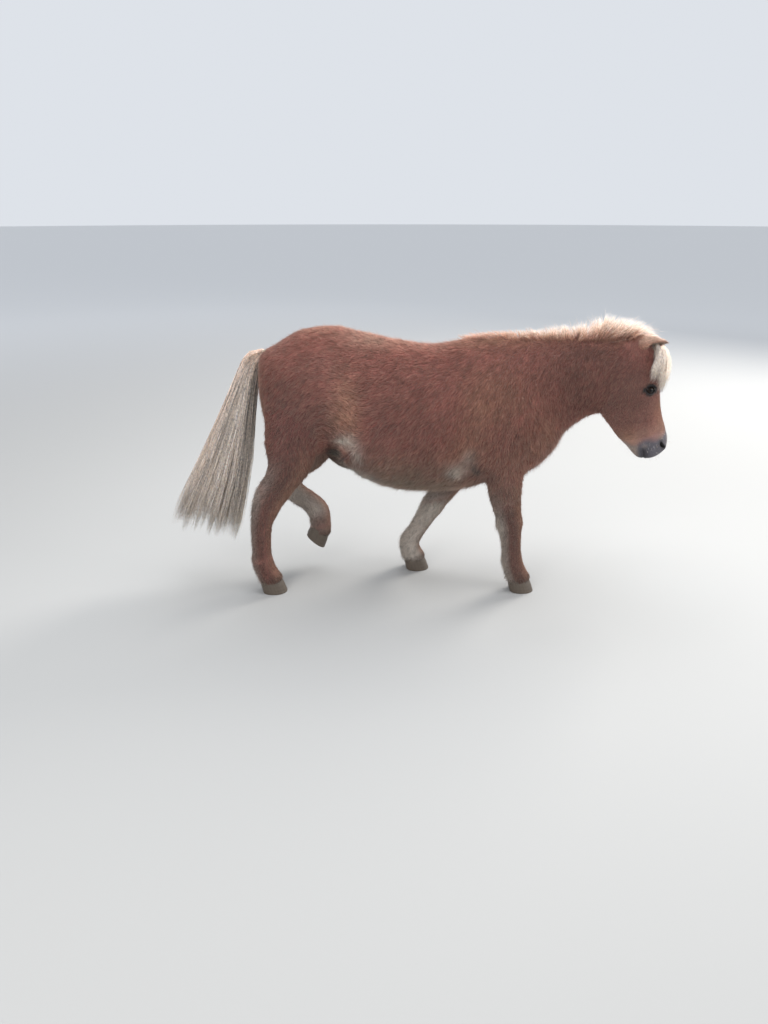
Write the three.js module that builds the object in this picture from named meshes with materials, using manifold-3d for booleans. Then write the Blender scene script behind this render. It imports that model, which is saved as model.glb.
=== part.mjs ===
// A young chestnut Shetland pony, walking with its head low, as a life-size still model.
// Millimetres. +X is forward, +Y is the pony's left, +Z is up, and the hooves stand on Z = 0.
// The outline is that of the winter coat: every solid reaches out to the tips of the hair.

import * as THREE from 'three';
import { LoftGeometry } from 'three/addons/geometries/LoftGeometry.js';
import { mergeVertices } from 'three/addons/utils/BufferGeometryUtils.js';
import Module from 'manifold-3d';

// Driving dimensions. The stations further down are distances forward of a point under the loin;
// MIDDLE is how far the middle of the whole model lies ahead of that point.

const MIDDLE = 123;
const WITHERS_HEIGHT = 950;
const CROUP_HEIGHT = 985;
const CREST_HEIGHT = 941;
const BELLY_HEIGHT = 380;
const BARREL_WIDTH = 404;
const RUMP_WIDTH = 366;
const FACE_TILT = 14.5;
const EYE_RADIUS = 20;
const FORE_TRACK = 98;
const HIND_TRACK = 108;
const HOOF_LENGTH = 92;
const HOOF_WIDTH = 84;
const HOOF_HEIGHT = 50;
const FLEXED_PASTERN = 40;
const EAR_WALL = 7;

// GAP is the width of the cuts between body parts, HAIR_GAP the space under the hair. Points closer
// than MERGE are one point, and FAR is longer than the whole model.

const GAP = 0.4;
const HAIR_GAP = 1;
const MERGE = 0.001;
const FAR = 3000;

// How finely each kind of piece is sliced along its length and round its girth

const BODY_GRAIN = { rings: 30, sides: 22 };
const HEAD_GRAIN = { rings: 20, sides: 20 };
const LEG_GRAIN = { rings: 18, sides: 12 };
const EAR_GRAIN = { rings: 7, sides: 10 };
const MANE_GRAIN = { rings: 13, sides: 8 };
const FORELOCK_GRAIN = { rings: 8, sides: 11 };
const TAIL_GRAIN = { rings: 14, sides: 13 };
const SHEATH_GRAIN = { rings: 7, sides: 10 };
const HOOF_SIDES = 16;
const EYE_SIDES = 12;
const NOSTRIL_SIDES = 8;

const wasm = await Module();
wasm.setup();

const LEFT = new THREE.Vector3(0, 1, 0);
const SIDES = [1, -1];

function vec(x, y, z) {
  return new THREE.Vector3(x, y, z);
}

// Solids and booleans

function solidOf(geometry) {
  const bare = new THREE.BufferGeometry();
  bare.setAttribute('position', geometry.attributes.position);
  bare.setIndex(geometry.index);
  const merged = mergeVertices(bare, MERGE);
  return new wasm.Manifold(new wasm.Mesh({
    numProp: 3,
    vertProperties: new Float32Array(merged.attributes.position.array),
    triVerts: new Uint32Array(merged.index.array),
  }));
}

function geometryOf(solid) {
  const mesh = solid.getMesh();
  const geometry = new THREE.BufferGeometry();
  geometry.setAttribute('position', new THREE.BufferAttribute(new Float32Array(mesh.vertProperties), 3));
  geometry.setIndex(new THREE.BufferAttribute(new Uint32Array(mesh.triVerts), 1));
  geometry.computeVertexNormals();
  return geometry;
}

function join(solids) {
  return solids.reduce((sum, solid) => sum.add(solid));
}

function without(solid, cutters) {
  return cutters.reduce((rest, cutter) => rest.subtract(cutter), solid);
}

// A cut may leave crumbs: the piece is the largest of what is left

function largest(solid) {
  return solid.decompose().reduce((best, piece) => (piece.volume() > best.volume() ? piece : best));
}

// A box far larger than the model, with one face through a point in the plane X, Z, lying on the
// side that the direction points to

function halfSpace(point, direction) {
  const normal = direction.clone().normalize();
  const geometry = new THREE.BoxGeometry(FAR, FAR, FAR);
  geometry.rotateY(Math.atan2(normal.x, normal.z));
  const middle = point.clone().addScaledVector(normal, FAR / 2);
  geometry.translate(middle.x, middle.y, middle.z);
  return solidOf(geometry);
}

// Part a solid in two by a plane: what lies beyond it, and the rest, a thin cut apart

function split(solid, point, direction) {
  const start = point.clone().addScaledVector(direction.clone().normalize(), -GAP);
  return [solid.intersect(halfSpace(point, direction)), solid.subtract(halfSpace(start, direction))];
}

// Cross sections: one closed ring round a middle point. `egg` above 0 narrows the outer (upper or
// front) side, `square` above 2 fills out the corners of the ellipse.

function ring(middle, out, left, depth, width, egg, square, sides) {
  const points = [];
  for (let i = 0; i < sides; i += 1) {
    const angle = (i / sides) * Math.PI * 2;
    const c = Math.cos(angle);
    const s = Math.sin(angle);
    const outward = Math.sign(c) * Math.abs(c) ** (2 / square);
    const across = Math.sign(s) * Math.abs(s) ** (2 / square) * (1 - egg * c);
    points.push(middle.clone()
      .addScaledVector(out, outward * depth / 2)
      .addScaledVector(left, -across * width / 2));
  }
  return points;
}

// Smooth values between stations: three numbers of each row at a time follow one curve

function between(rows, t) {
  const values = [];
  for (let k = 0; k < rows[0].length; k += 3) {
    const knots = rows.map((row) => vec(row[k], row[k + 1] ?? 0, row[k + 2] ?? 0));
    values.push(...new THREE.CatmullRomCurve3(knots).getPoint(t).toArray());
  }
  return values;
}

// A grown solid also reaches further at its two ends

function endSign(i, rings) {
  return Number(i === rings) - Number(i === 0);
}

// A body of parallel slices along a straight line. Each row: distance along the line, how far out
// its front (or top) and its back (or bottom) lie, width, egg, square.

function sliced({ origin, along, out }, rows, { rings, sides }, grow = 0) {
  const sections = [];
  for (let i = 0; i <= rings; i += 1) {
    const [at, front, back, width, egg, square] = between(rows, i / rings);
    const middle = origin.clone()
      .addScaledVector(along, at + grow * endSign(i, rings))
      .addScaledVector(out, (front + back) / 2);
    sections.push(ring(middle, out, LEFT, front - back + 2 * grow, width + 2 * grow, egg, square, sides));
  }
  return solidOf(new LoftGeometry(sections, { capStart: true, capEnd: true }));
}

// The way that a path runs at t, taken between a point before and one after, so that the sections
// turn slowly round a sharp bend and don't cut each other

const EASE = 0.07;

function heading(path, t) {
  const before = path.getPoint(Math.max(0, t - EASE));
  const after = path.getPoint(Math.min(1, t + EASE));
  return after.sub(before).normalize();
}

// A limb carried along a path. Each row: middle of the section (forward, left, up), depth from
// front to back, width from side to side, and how square it is.

function limb(rows, { rings, sides }, grow = 0) {
  const path = new THREE.CatmullRomCurve3(rows.map((row) => vec(row[0], row[1], row[2])));
  const sections = [];
  for (let i = 0; i <= rings; i += 1) {
    const t = i / rings;
    const [x, y, z, depth, width, square] = between(rows, t);
    const tangent = heading(path, t);
    const left = LEFT.clone().addScaledVector(tangent, -tangent.y).normalize();
    const out = vec(0, 0, 0).crossVectors(tangent, left);
    const middle = vec(x, y, z).addScaledVector(tangent, grow * endSign(i, rings));
    sections.push(ring(middle, out, left, depth + 2 * grow, width + 2 * grow, 0, square, sides));
  }
  return solidOf(new LoftGeometry(sections, { capStart: true, capEnd: true }));
}

// An egg-shaped ball, turned about the line from side to side

const BALL_RINGS_PER_SIDE = 0.75;

function ball(middle, radii, turn, sides) {
  const geometry = new THREE.SphereGeometry(1, sides, Math.round(sides * BALL_RINGS_PER_SIDE));
  geometry.scale(radii.x, radii.y, radii.z);
  geometry.rotateY(THREE.MathUtils.degToRad(turn));
  geometry.translate(middle.x, middle.y, middle.z);
  return solidOf(geometry);
}

// Trunk and neck: one body of upright slices from the buttocks to the poll.
// Each row: distance forward, top, bottom, width, egg, square.

const BODY_LINE = { origin: vec(0, 0, 0), along: vec(1, 0, 0), out: vec(0, 0, 1) };

const TRUNK_AND_NECK = [
  [-446, 862, 742, 90, 0.00, 2.2],
  [-432, 893, 668, 196, 0.00, 2.2],
  [-385, 921, 590, 288, 0.04, 2.25],
  [-295, 970, 535, 348, 0.10, 2.25],
  [-182, CROUP_HEIGHT, 505, RUMP_WIDTH, 0.12, 2.2],
  [-84, 968, 436, 386, 0.10, 2.2],
  [39, 941, 391, BARREL_WIDTH, 0.08, 2.2],
  [174, 923, BELLY_HEIGHT, 396, 0.08, 2.2],
  [290, 941, 388, 356, 0.12, 2.2],
  [370, WITHERS_HEIGHT, 408, 334, 0.20, 2.2],
  [460, 944, 432, 318, 0.22, 2.2],
  [540, CREST_HEIGHT, 463, 286, 0.20, 2.2],
  [606, CREST_HEIGHT, 530, 236, 0.18, 2.15],
  [655, CREST_HEIGHT, 599, 194, 0.16, 2.1],
  [720, CREST_HEIGHT, 650, 172, 0.14, 2.1],
  [792, CREST_HEIGHT, 676, 160, 0.12, 2.1],
  [860, 940, 700, 150, 0.10, 2.1],
  [915, 930, 760, 110, 0.00, 2.1],
];

function trunkAndNeck(grow = 0) {
  return sliced(BODY_LINE, TRUNK_AND_NECK, BODY_GRAIN, grow);
}

// Head: slices square to the line of the face, from the poll to the lips.
// Each row: distance down the face, face side, jaw side, width, egg, square.

const tilt = THREE.MathUtils.degToRad(FACE_TILT);
const HEAD_LINE = {
  origin: vec(946, 0, 950),
  along: vec(Math.sin(tilt), 0, -Math.cos(tilt)),
  out: vec(Math.cos(tilt), 0, Math.sin(tilt)),
};

const HEAD = [
  [-16, -34, -96, 66, 0.00, 2.2],
  [0, -10, -150, 122, 0.00, 2.2],
  [40, 6, -186, 154, -0.06, 2.3],
  [100, 8, -206, 170, -0.12, 2.4],
  [150, 5, -218, 178, -0.14, 2.4],
  [190, -1, -224, 170, -0.08, 2.4],
  [240, -5, -220, 150, 0.04, 2.4],
  [290, -5, -198, 124, 0.06, 2.4],
  [338, 0, -175, 106, 0.02, 2.4],
  [384, 1, -145, 104, -0.05, 2.5],
  [410, -9, -130, 102, -0.05, 2.5],
  [431, -30, -113, 88, 0.00, 2.4],
  [445, -60, -90, 48, 0.00, 2.2],
];

const EYE = { down: 169, out: -60, beside: 68 };
const EYE_SOCKET = { along: 22, out: 18, beside: 22 };
const NOSTRIL = { down: 394, out: -28, beside: 46 };
const NOSTRIL_SIZE = { along: 14, out: 8, beside: 12 };
const NOSTRIL_TURN = 20;
const MOUTH = { down: 412, out: -97, length: 70, height: 2, breadth: 200 };
const EAR_ROOT = { down: 16, out: -58, beside: 54 };
const EAR_TIP = { forward: 976, up: 934, beside: 72 };

function onHead({ down, out, beside = 0 }, side = 1) {
  return HEAD_LINE.origin.clone()
    .addScaledVector(HEAD_LINE.along, down)
    .addScaledVector(HEAD_LINE.out, out)
    .setY(beside * side);
}

function headBody(grow = 0) {
  return sliced(HEAD_LINE, HEAD, HEAD_GRAIN, grow);
}

function eyeball(side, grow = 0) {
  const radius = EYE_RADIUS + grow;
  return ball(onHead(EYE, side), vec(radius, radius, radius), 0, EYE_SIDES);
}

function eyeSocket(side) {
  const middle = onHead({ ...EYE, beside: EYE.beside + EYE_SOCKET.beside / 2 }, side);
  const radii = vec(EYE_SOCKET.out, EYE_SOCKET.beside, EYE_SOCKET.along);
  return ball(middle, radii, -FACE_TILT, EYE_SIDES);
}

function nostril(side) {
  const radii = vec(NOSTRIL_SIZE.out, NOSTRIL_SIZE.beside, NOSTRIL_SIZE.along);
  return ball(onHead(NOSTRIL, side), radii, -FACE_TILT - NOSTRIL_TURN, NOSTRIL_SIDES);
}

// The mouth is a slit between the lips, along the head and right through from side to side

function mouth() {
  const geometry = new THREE.BoxGeometry(MOUTH.height, MOUTH.breadth, MOUTH.length);
  geometry.rotateY(-tilt);
  const middle = onHead(MOUTH);
  geometry.translate(middle.x, middle.y, middle.z);
  return solidOf(geometry);
}

// Ears: leaf-shaped cones, hollowed by a smaller one that sits lower and further out.
// Each row: share of the length, depth, width.

const EAR = [
  [0.00, 56, 46],
  [0.25, 62, 44],
  [0.55, 52, 34],
  [0.85, 26, 18],
  [1.00, 7, 6],
];

const EAR_HOLLOW = { smaller: 2 * EAR_WALL, drop: 2 * EAR_WALL, outward: EAR_WALL };

function earCone(side, { smaller = 0, drop = 0, outward = 0 } = {}) {
  const root = onHead(EAR_ROOT, side);
  const tip = vec(EAR_TIP.forward, EAR_TIP.beside * side, EAR_TIP.up);
  const rows = EAR.map(([share, depth, width]) => {
    const middle = root.clone().lerp(tip, share);
    return [middle.x, middle.y + outward * side, middle.z - drop, depth - smaller, width - smaller, 2];
  });
  return limb(rows, EAR_GRAIN);
}

function ear(side) {
  return earCone(side).subtract(earCone(side, EAR_HOLLOW));
}

// Legs, from inside the body down into the hoof. Each row: forward, left, up, depth, width, square.
// `knee` and `fetlock` number the rows where a leg is parted, `hoof` is the middle of its sole.

const LEGS = {
  fore_right: {
    hoof: { place: vec(526, -FORE_TRACK, 0), toeDown: 0 },
    knee: 5,
    fetlock: 7,
    rows: [
      [420, -70, 640, 200, 90, 2],
      [436, -86, 520, 176, 108, 2],
      [440, -94, 440, 142, 104, 2],
      [449, -FORE_TRACK, 363, 119, 92, 2.1],
      [461, -FORE_TRACK, 308, 101, 86, 2.2],
      [467, -FORE_TRACK, 277, 105, 90, 2.3],
      [474, -FORE_TRACK, 232, 84, 76, 2.2],
      [481, -FORE_TRACK, 164, 77, 68, 2.2],
      [486, -FORE_TRACK, 120, 85, 78, 2.2],
      [498, -FORE_TRACK, 84, 80, 80, 2.2],
      [516, -FORE_TRACK, 40, 92, 84, 2.2],
    ],
  },
  fore_left: {
    hoof: { place: vec(135, FORE_TRACK, 0), toeDown: 0 },
    knee: 5,
    fetlock: 7,
    rows: [
      [400, 70, 640, 200, 90, 2],
      [345, 86, 520, 176, 106, 2],
      [290, 94, 430, 128, 98, 2],
      [246, FORE_TRACK, 350, 104, 88, 2.1],
      [212, FORE_TRACK, 302, 92, 84, 2.2],
      [194, FORE_TRACK, 274, 95, 88, 2.3],
      [168, FORE_TRACK, 228, 80, 74, 2.2],
      [130, FORE_TRACK, 162, 73, 68, 2.2],
      [104, FORE_TRACK, 114, 83, 78, 2.2],
      [108, FORE_TRACK, 80, 80, 80, 2.2],
      [124, FORE_TRACK, 40, 92, 84, 2.2],
    ],
  },
  hind_right: {
    hoof: { place: vec(-417, -HIND_TRACK, 0), toeDown: 0 },
    knee: 6,
    fetlock: 8,
    rows: [
      [-250, -86, 800, 250, 150, 2],
      [-292, -94, 690, 262, 166, 2],
      [-326, -100, 590, 214, 150, 2],
      [-343, -HIND_TRACK, 505, 162, 122, 2],
      [-377, -HIND_TRACK, 440, 126, 98, 2.1],
      [-416, -HIND_TRACK, 382, 118, 84, 2.2],
      [-438, -HIND_TRACK, 330, 104, 80, 2.3],
      [-453, -HIND_TRACK, 276, 84, 72, 2.2],
      [-459, -HIND_TRACK, 172, 76, 68, 2.2],
      [-458, -HIND_TRACK, 122, 86, 78, 2.2],
      [-446, -HIND_TRACK, 84, 80, 80, 2.2],
      [-428, -HIND_TRACK, 40, 92, 84, 2.2],
    ],
  },
  hind_left: {
    hoof: { place: vec(-276, HIND_TRACK, 118), toeDown: FLEXED_PASTERN },
    knee: 6,
    fetlock: 7,
    rows: [
      [-240, 86, 800, 250, 150, 2],
      [-238, 94, 690, 262, 160, 2],
      [-244, 100, 580, 196, 140, 2],
      [-290, HIND_TRACK, 480, 140, 112, 2],
      [-344, HIND_TRACK, 425, 108, 90, 2.1],
      [-376, HIND_TRACK, 369, 89, 84, 2.3],
      [-341, HIND_TRACK, 318, 84, 76, 2.3],
      [-298, HIND_TRACK, 286, 84, 70, 2.2],
      [-264, HIND_TRACK, 248, 92, 78, 2.2],
      [-254, HIND_TRACK, 204, 84, 78, 2.2],
      [-258, HIND_TRACK, 154, 90, 84, 2.2],
    ],
  },
};

function leg({ rows }, grow = 0) {
  return limb(rows, LEG_GRAIN, grow);
}

// Hooves: a slanted horn cone with a flat sole, wider at the ground than at the coronet.
// Each row: share of the height, share of the size, lean back from the middle of the sole.

const HOOF = [
  [0.0, 1.00, 0],
  [0.5, 0.97, -7],
  [1.0, 0.91, -15],
];
const HOOF_EGG = 0.06;
const HOOF_SQUARE = 2.3;

function placeHoof(geometry, { place, toeDown }) {
  geometry.rotateY(THREE.MathUtils.degToRad(toeDown));
  geometry.translate(place.x, place.y, place.z);
  return solidOf(geometry);
}

function hoof(stance) {
  const sections = HOOF.map(([height, size, lean]) => {
    const middle = vec(lean, 0, height * HOOF_HEIGHT);
    const length = HOOF_LENGTH * size;
    const width = HOOF_WIDTH * size;
    return ring(middle, vec(1, 0, 0), LEFT, length, width, HOOF_EGG, HOOF_SQUARE, HOOF_SIDES).reverse();
  });
  return placeHoof(new LoftGeometry(sections, { capStart: true, capEnd: true }), stance);
}

// The room that a hoof takes away from its leg: everything below the coronet

function hoofRoom(stance) {
  const room = 2 * HOOF_LENGTH;
  const geometry = new THREE.BoxGeometry(room, room, room);
  geometry.translate(0, 0, HOOF_HEIGHT + GAP - room / 2);
  return placeHoof(geometry, stance);
}

// Mane and forelock: closed solids to the tips of the hair, as slices along the body and the face

const MANE = [
  [300, 948, 900, 8, 0.1, 2.0],
  [420, 951, 900, 26, 0.2, 2.0],
  [560, 962, 900, 36, 0.3, 2.0],
  [672, 992, 900, 46, 0.4, 2.0],
  [772, 1025, 890, 56, 0.4, 2.0],
  [826, 1027, 885, 62, 0.4, 2.0],
  [890, 1004, 880, 70, 0.35, 2.0],
  [945, 982, 885, 76, 0.3, 2.0],
  [990, 944, 900, 50, 0.1, 2.0],
];

const FORELOCK = [
  [8, 40, -30, 60, 0.0, 2.2],
  [40, 50, -34, 104, 0.0, 2.2],
  [100, 50, -36, 122, 0.0, 2.2],
  [140, 42, -34, 108, 0.0, 2.2],
  [172, 28, -30, 74, 0.0, 2.2],
  [192, 14, -20, 30, 0.0, 2.2],
];

// Tail: dock and long hair in one, hanging clear of the ground

const TAIL = [
  [-404, 0, 884, 40, 44, 2],
  [-438, 0, 884, 56, 54, 2],
  [-468, 0, 856, 70, 66, 2],
  [-494, 0, 790, 88, 84, 2],
  [-522, 0, 700, 114, 100, 2.1],
  [-576, 0, 528, 176, 116, 2.2],
  [-640, 0, 340, 222, 126, 2.3],
  [-676, 0, 236, 244, 118, 2.4],
  [-688, 0, 186, 222, 88, 2.4],
];

// Sheath: a short pouch under the belly, just ahead of the hind legs

const SHEATH = [
  [-84, 0, 462, 16, 24, 2],
  [-112, 0, 478, 52, 62, 2],
  [-156, 0, 504, 70, 80, 2],
  [-208, 0, 540, 52, 66, 2],
  [-236, 0, 560, 10, 14, 2],
];

// Where the body is parted: a point on each cut and the direction across it

const CUTS = {
  head: { point: vec(834, 0, 800), direction: vec(1, 0, -0.27) },
  neck: { point: vec(472, 0, 715), direction: vec(1, 0, 0.55) },
  forequarters: { point: vec(250, 0, 600), direction: vec(1, 0, 0.12) },
  hindquarters: { point: vec(-120, 0, 700), direction: vec(-1, 0, 0.1) },
  muzzle: { point: onHead({ down: 346, out: 0 }), direction: HEAD_LINE.along },
  forelegs: { point: vec(370, 0, 399), direction: vec(0.118, 0, -1) },
  hindLegs: { point: vec(-182, 0, 492), direction: vec(-0.376, 0, -1) },
};

function cut(solid, name) {
  return split(solid, CUTS[name].point, CUTS[name].direction);
}

// Colours of the coat, the bare skin and the horn

const CHESTNUT = { color: 0x8a5440, roughness: 0.85, metalness: 0 };
const DARK_CHESTNUT = { color: 0x6f4436, roughness: 0.85, metalness: 0 };
const PALE_LEG = { color: 0x8d7260, roughness: 0.88, metalness: 0 };
const FLAXEN = { color: 0xd8c3a6, roughness: 0.7, metalness: 0 };
const GREY_SKIN = { color: 0x6a6466, roughness: 0.6, metalness: 0 };
const HORN = { color: 0x3e3631, roughness: 0.45, metalness: 0 };
const EYE_DARK = { color: 0x17100c, roughness: 0.08, metalness: 0 };

// The scene graph

const pony = new THREE.Group();
pony.position.x = -MIDDLE;

function add(name, solid, finish) {
  const mesh = new THREE.Mesh(geometryOf(largest(solid)), new THREE.MeshStandardMaterial(finish));
  mesh.name = name;
  pony.add(mesh);
}

// A leg is parted square to its own line, at the knee or hock and above the fetlock

function pathPlane(rows, index) {
  const path = new THREE.CatmullRomCurve3(rows.map((row) => vec(row[0], row[1], row[2])));
  const t = index / (rows.length - 1);
  return [path.getPoint(t), path.getTangent(t)];
}

function addLeg(name, whole, { rows, knee, fetlock, hoof: stance }) {
  const fore = name.startsWith('fore');
  const [shin, upper] = split(whole, ...pathPlane(rows, knee));
  const [pastern, cannon] = split(shin, ...pathPlane(rows, fetlock));
  add(`${name}_${fore ? 'forearm' : 'gaskin'}`, upper, CHESTNUT);
  add(`${name}_cannon`, cannon, fore ? CHESTNUT : DARK_CHESTNUT);
  add(`${name}_pastern`, pastern, PALE_LEG);
  add(`${name}_hoof`, hoof(stance), HORN);
}

// The piece of a parted pair of legs that lies on one side of the body

function onSide(solid, side) {
  return solid.intersect(halfSpace(vec(0, 0, 0), LEFT.clone().multiplyScalar(side)));
}

// The flesh is joined whole, then parted. The piece beyond a cut comes first.

const stances = Object.values(LEGS);
const flesh = without(
  join([trunkAndNeck(), headBody(), ...stances.map((stance) => leg(stance))]),
  stances.map((stance) => hoofRoom(stance.hoof)),
);

const [hindPart, frontPart] = cut(flesh, 'hindquarters');
const [hindLegs, hindquarters] = cut(hindPart, 'hindLegs');
const [forelegs, foreBody] = cut(frontPart, 'forelegs');
const [forehand, barrel] = cut(foreBody, 'forequarters');
const [neckAndHead, forequarters] = cut(forehand, 'neck');
const [wholeHead, neck] = cut(neckAndHead, 'head');
const carvings = SIDES.flatMap((side) => [eyeball(side, GAP), eyeSocket(side), nostril(side)]);
const [muzzle, head] = cut(without(wholeHead, [...carvings, mouth()]), 'muzzle');

add('hindquarters', hindquarters, CHESTNUT);
add('barrel', barrel, CHESTNUT);
add('forequarters', forequarters, CHESTNUT);
add('neck', neck, CHESTNUT);
add('head', head, CHESTNUT);
add('muzzle', muzzle, GREY_SKIN);

for (const [name, stance] of Object.entries(LEGS)) {
  const pair = name.startsWith('fore') ? forelegs : hindLegs;
  const whole = onSide(pair, name.endsWith('left') ? 1 : -1);
  addLeg(name, whole, stance);
}

// Hair and ears give way to the flesh, and each to the one before it

const grownLegs = stances.map((stance) => leg(stance, HAIR_GAP));
const fleshRoom = join([trunkAndNeck(HAIR_GAP), headBody(HAIR_GAP), ...grownLegs]);
const earRoom = join(SIDES.map((side) => earCone(side, { smaller: -2 * HAIR_GAP })));
const mane = without(sliced(BODY_LINE, MANE, MANE_GRAIN), [fleshRoom, earRoom]);
const maneRoom = sliced(BODY_LINE, MANE, MANE_GRAIN, HAIR_GAP);
const forelock = without(sliced(HEAD_LINE, FORELOCK, FORELOCK_GRAIN), [fleshRoom, earRoom, maneRoom]);

for (const side of SIDES) {
  const name = side > 0 ? 'left' : 'right';
  add(`eye_${name}`, eyeball(side), EYE_DARK);
  add(`ear_${name}`, ear(side).subtract(fleshRoom), CHESTNUT);
}
add('mane', mane, FLAXEN);
add('forelock', forelock, FLAXEN);
add('tail', limb(TAIL, TAIL_GRAIN).subtract(fleshRoom), FLAXEN);
add('sheath', limb(SHEATH, SHEATH_GRAIN).subtract(fleshRoom), GREY_SKIN);

export default pony;
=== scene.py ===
"""A young chestnut Shetland pony in its winter coat, walking, as a life-size still model.

Metres, with +X forward, +Y the pony's left, +Z up and the hooves on Z = 0. The tables are in
millimetres, and the first column of a table along the body is the distance ahead of the loin.
In the tables of slices and sections, egg is how much narrower the upper half is than the lower,
square is the power of the superellipse, 2 for an ellipse, and coat is how deep the hair lies.
"""

import math
import bmesh
import bpy
import numpy as np
import openvdb
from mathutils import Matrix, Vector


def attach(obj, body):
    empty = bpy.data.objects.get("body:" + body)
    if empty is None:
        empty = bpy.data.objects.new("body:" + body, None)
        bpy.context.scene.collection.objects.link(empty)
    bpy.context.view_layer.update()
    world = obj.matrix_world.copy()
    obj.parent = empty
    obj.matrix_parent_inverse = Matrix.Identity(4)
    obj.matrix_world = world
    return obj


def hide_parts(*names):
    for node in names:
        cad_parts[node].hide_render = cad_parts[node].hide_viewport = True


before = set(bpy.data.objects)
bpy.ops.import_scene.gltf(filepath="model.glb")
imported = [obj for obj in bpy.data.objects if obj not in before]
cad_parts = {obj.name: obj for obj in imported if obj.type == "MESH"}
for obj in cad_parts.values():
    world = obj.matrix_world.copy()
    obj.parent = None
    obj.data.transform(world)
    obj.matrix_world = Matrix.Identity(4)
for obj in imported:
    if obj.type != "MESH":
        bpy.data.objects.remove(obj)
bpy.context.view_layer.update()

MM = 0.001
LOIN = 123 * MM
LEFTWARD = np.array([0.0, 1.0, 0.0])
SIDES = {1: "left", -1: "right"}

# The skin mesh's grain, halved by each refining, and how widely the limbs and the neck blend in

SKIN_GRAIN = 8 * MM
FLESH_BLEND = 26 * MM
NECK_BLEND = 30 * MM

# Trunk and neck, as upright slices: ahead of the loin, top, bottom, width, egg, square, coat

TRUNK = [
    [-446, 862, 742, 90, 0.00, 2.2, 5.5], [-432, 893, 668, 196, 0.00, 2.2, 7],
    [-385, 921, 590, 288, 0.04, 2.25, 9], [-295, 970, 535, 348, 0.10, 2.25, 9.5],
    [-182, 985, 505, 366, 0.12, 2.2, 9.5], [-84, 968, 436, 386, 0.10, 2.2, 11],
    [39, 941, 391, 404, 0.08, 2.2, 11], [174, 923, 380, 396, 0.08, 2.2, 11],
    [290, 941, 388, 356, 0.12, 2.2, 11], [370, 950, 408, 334, 0.20, 2.2, 11],
    [460, 944, 432, 318, 0.22, 2.2, 10], [540, 941, 463, 286, 0.20, 2.2, 9.5],
    [606, 941, 530, 236, 0.18, 2.15, 9], [655, 941, 599, 194, 0.16, 2.1, 8.5],
    [720, 941, 650, 172, 0.14, 2.1, 8], [792, 941, 676, 160, 0.12, 2.1, 7],
    [860, 940, 700, 150, 0.10, 2.1, 6], [915, 930, 760, 110, 0.00, 2.1, 5],
]

# Head, as slices square to the face: down the face, face side, jaw side, width, egg, square, coat

FACE_TILT = math.radians(14.5)
HEAD = [
    [-16, -34, -96, 66, 0.00, 2.2, 8], [0, -10, -150, 122, 0.00, 2.2, 8],
    [40, 6, -186, 154, -0.06, 2.3, 8], [100, 8, -206, 170, -0.12, 2.4, 7],
    [150, 5, -218, 178, -0.14, 2.4, 6], [190, -1, -224, 170, -0.08, 2.4, 5.5],
    [240, -5, -220, 150, 0.04, 2.4, 5], [290, -5, -198, 124, 0.06, 2.4, 4],
    [338, 0, -175, 106, 0.02, 2.4, 3], [384, 1, -145, 104, -0.05, 2.5, 1.6],
    [410, -9, -130, 102, -0.05, 2.5, 1], [431, -30, -113, 88, 0.00, 2.4, 0.8],
    [445, -60, -90, 48, 0.00, 2.2, 0.6],
]

# Legs, carried along a path: ahead, up, depth, width, square, coat

LEG_ROOTS = {"fore": (70, 86, 94), "hind": (86, 94, 100)}
LEG_TRACK = {"fore": 98, "hind": 108}
LEGS = {
    "fore_right": [
        [420, 640, 200, 90, 2, 11], [436, 520, 176, 108, 2, 10], [440, 440, 142, 104, 2, 8.5],
        [449, 363, 119, 92, 2.1, 6.5], [461, 308, 101, 86, 2.2, 5.5], [467, 277, 105, 90, 2.3, 5.5],
        [474, 232, 84, 76, 2.2, 5], [481, 164, 77, 68, 2.2, 5], [486, 120, 85, 78, 2.2, 5],
        [498, 84, 80, 80, 2.2, 3.5], [516, 40, 92, 84, 2.2, 2.5],
    ],
    "fore_left": [
        [400, 640, 200, 90, 2, 11], [345, 520, 176, 106, 2, 10], [290, 430, 128, 98, 2, 8.5],
        [246, 350, 104, 88, 2.1, 6.5], [212, 302, 92, 84, 2.2, 5.5], [194, 274, 95, 88, 2.3, 5.5],
        [168, 228, 80, 74, 2.2, 5], [130, 162, 73, 68, 2.2, 5], [104, 114, 83, 78, 2.2, 5],
        [108, 80, 80, 80, 2.2, 3.5], [124, 40, 92, 84, 2.2, 2.5],
    ],
    "hind_right": [
        [-250, 800, 250, 150, 2, 11], [-292, 690, 262, 166, 2, 10], [-326, 590, 214, 150, 2, 9],
        [-343, 505, 162, 122, 2, 7], [-377, 440, 126, 98, 2.1, 6], [-416, 382, 118, 84, 2.2, 5.5],
        [-438, 330, 104, 80, 2.3, 5.5], [-453, 276, 84, 72, 2.2, 5], [-459, 172, 76, 68, 2.2, 5],
        [-458, 122, 86, 78, 2.2, 5], [-446, 84, 80, 80, 2.2, 3.5], [-428, 40, 92, 84, 2.2, 2.5],
    ],
    "hind_left": [
        [-240, 800, 250, 150, 2, 11], [-238, 690, 262, 160, 2, 10], [-244, 580, 196, 140, 2, 9],
        [-290, 480, 140, 112, 2, 7], [-344, 425, 108, 90, 2.1, 6], [-376, 369, 89, 84, 2.3, 4],
        [-341, 318, 84, 76, 2.3, 4], [-298, 286, 84, 70, 2.2, 4.5], [-264, 248, 92, 78, 2.2, 5],
        [-254, 204, 84, 78, 2.2, 3.5], [-258, 154, 90, 84, 2.2, 2.5],
    ],
}

# The sheath and the tail's outline, carried along a path: ahead, left, up, depth, width, square, coat

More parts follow.
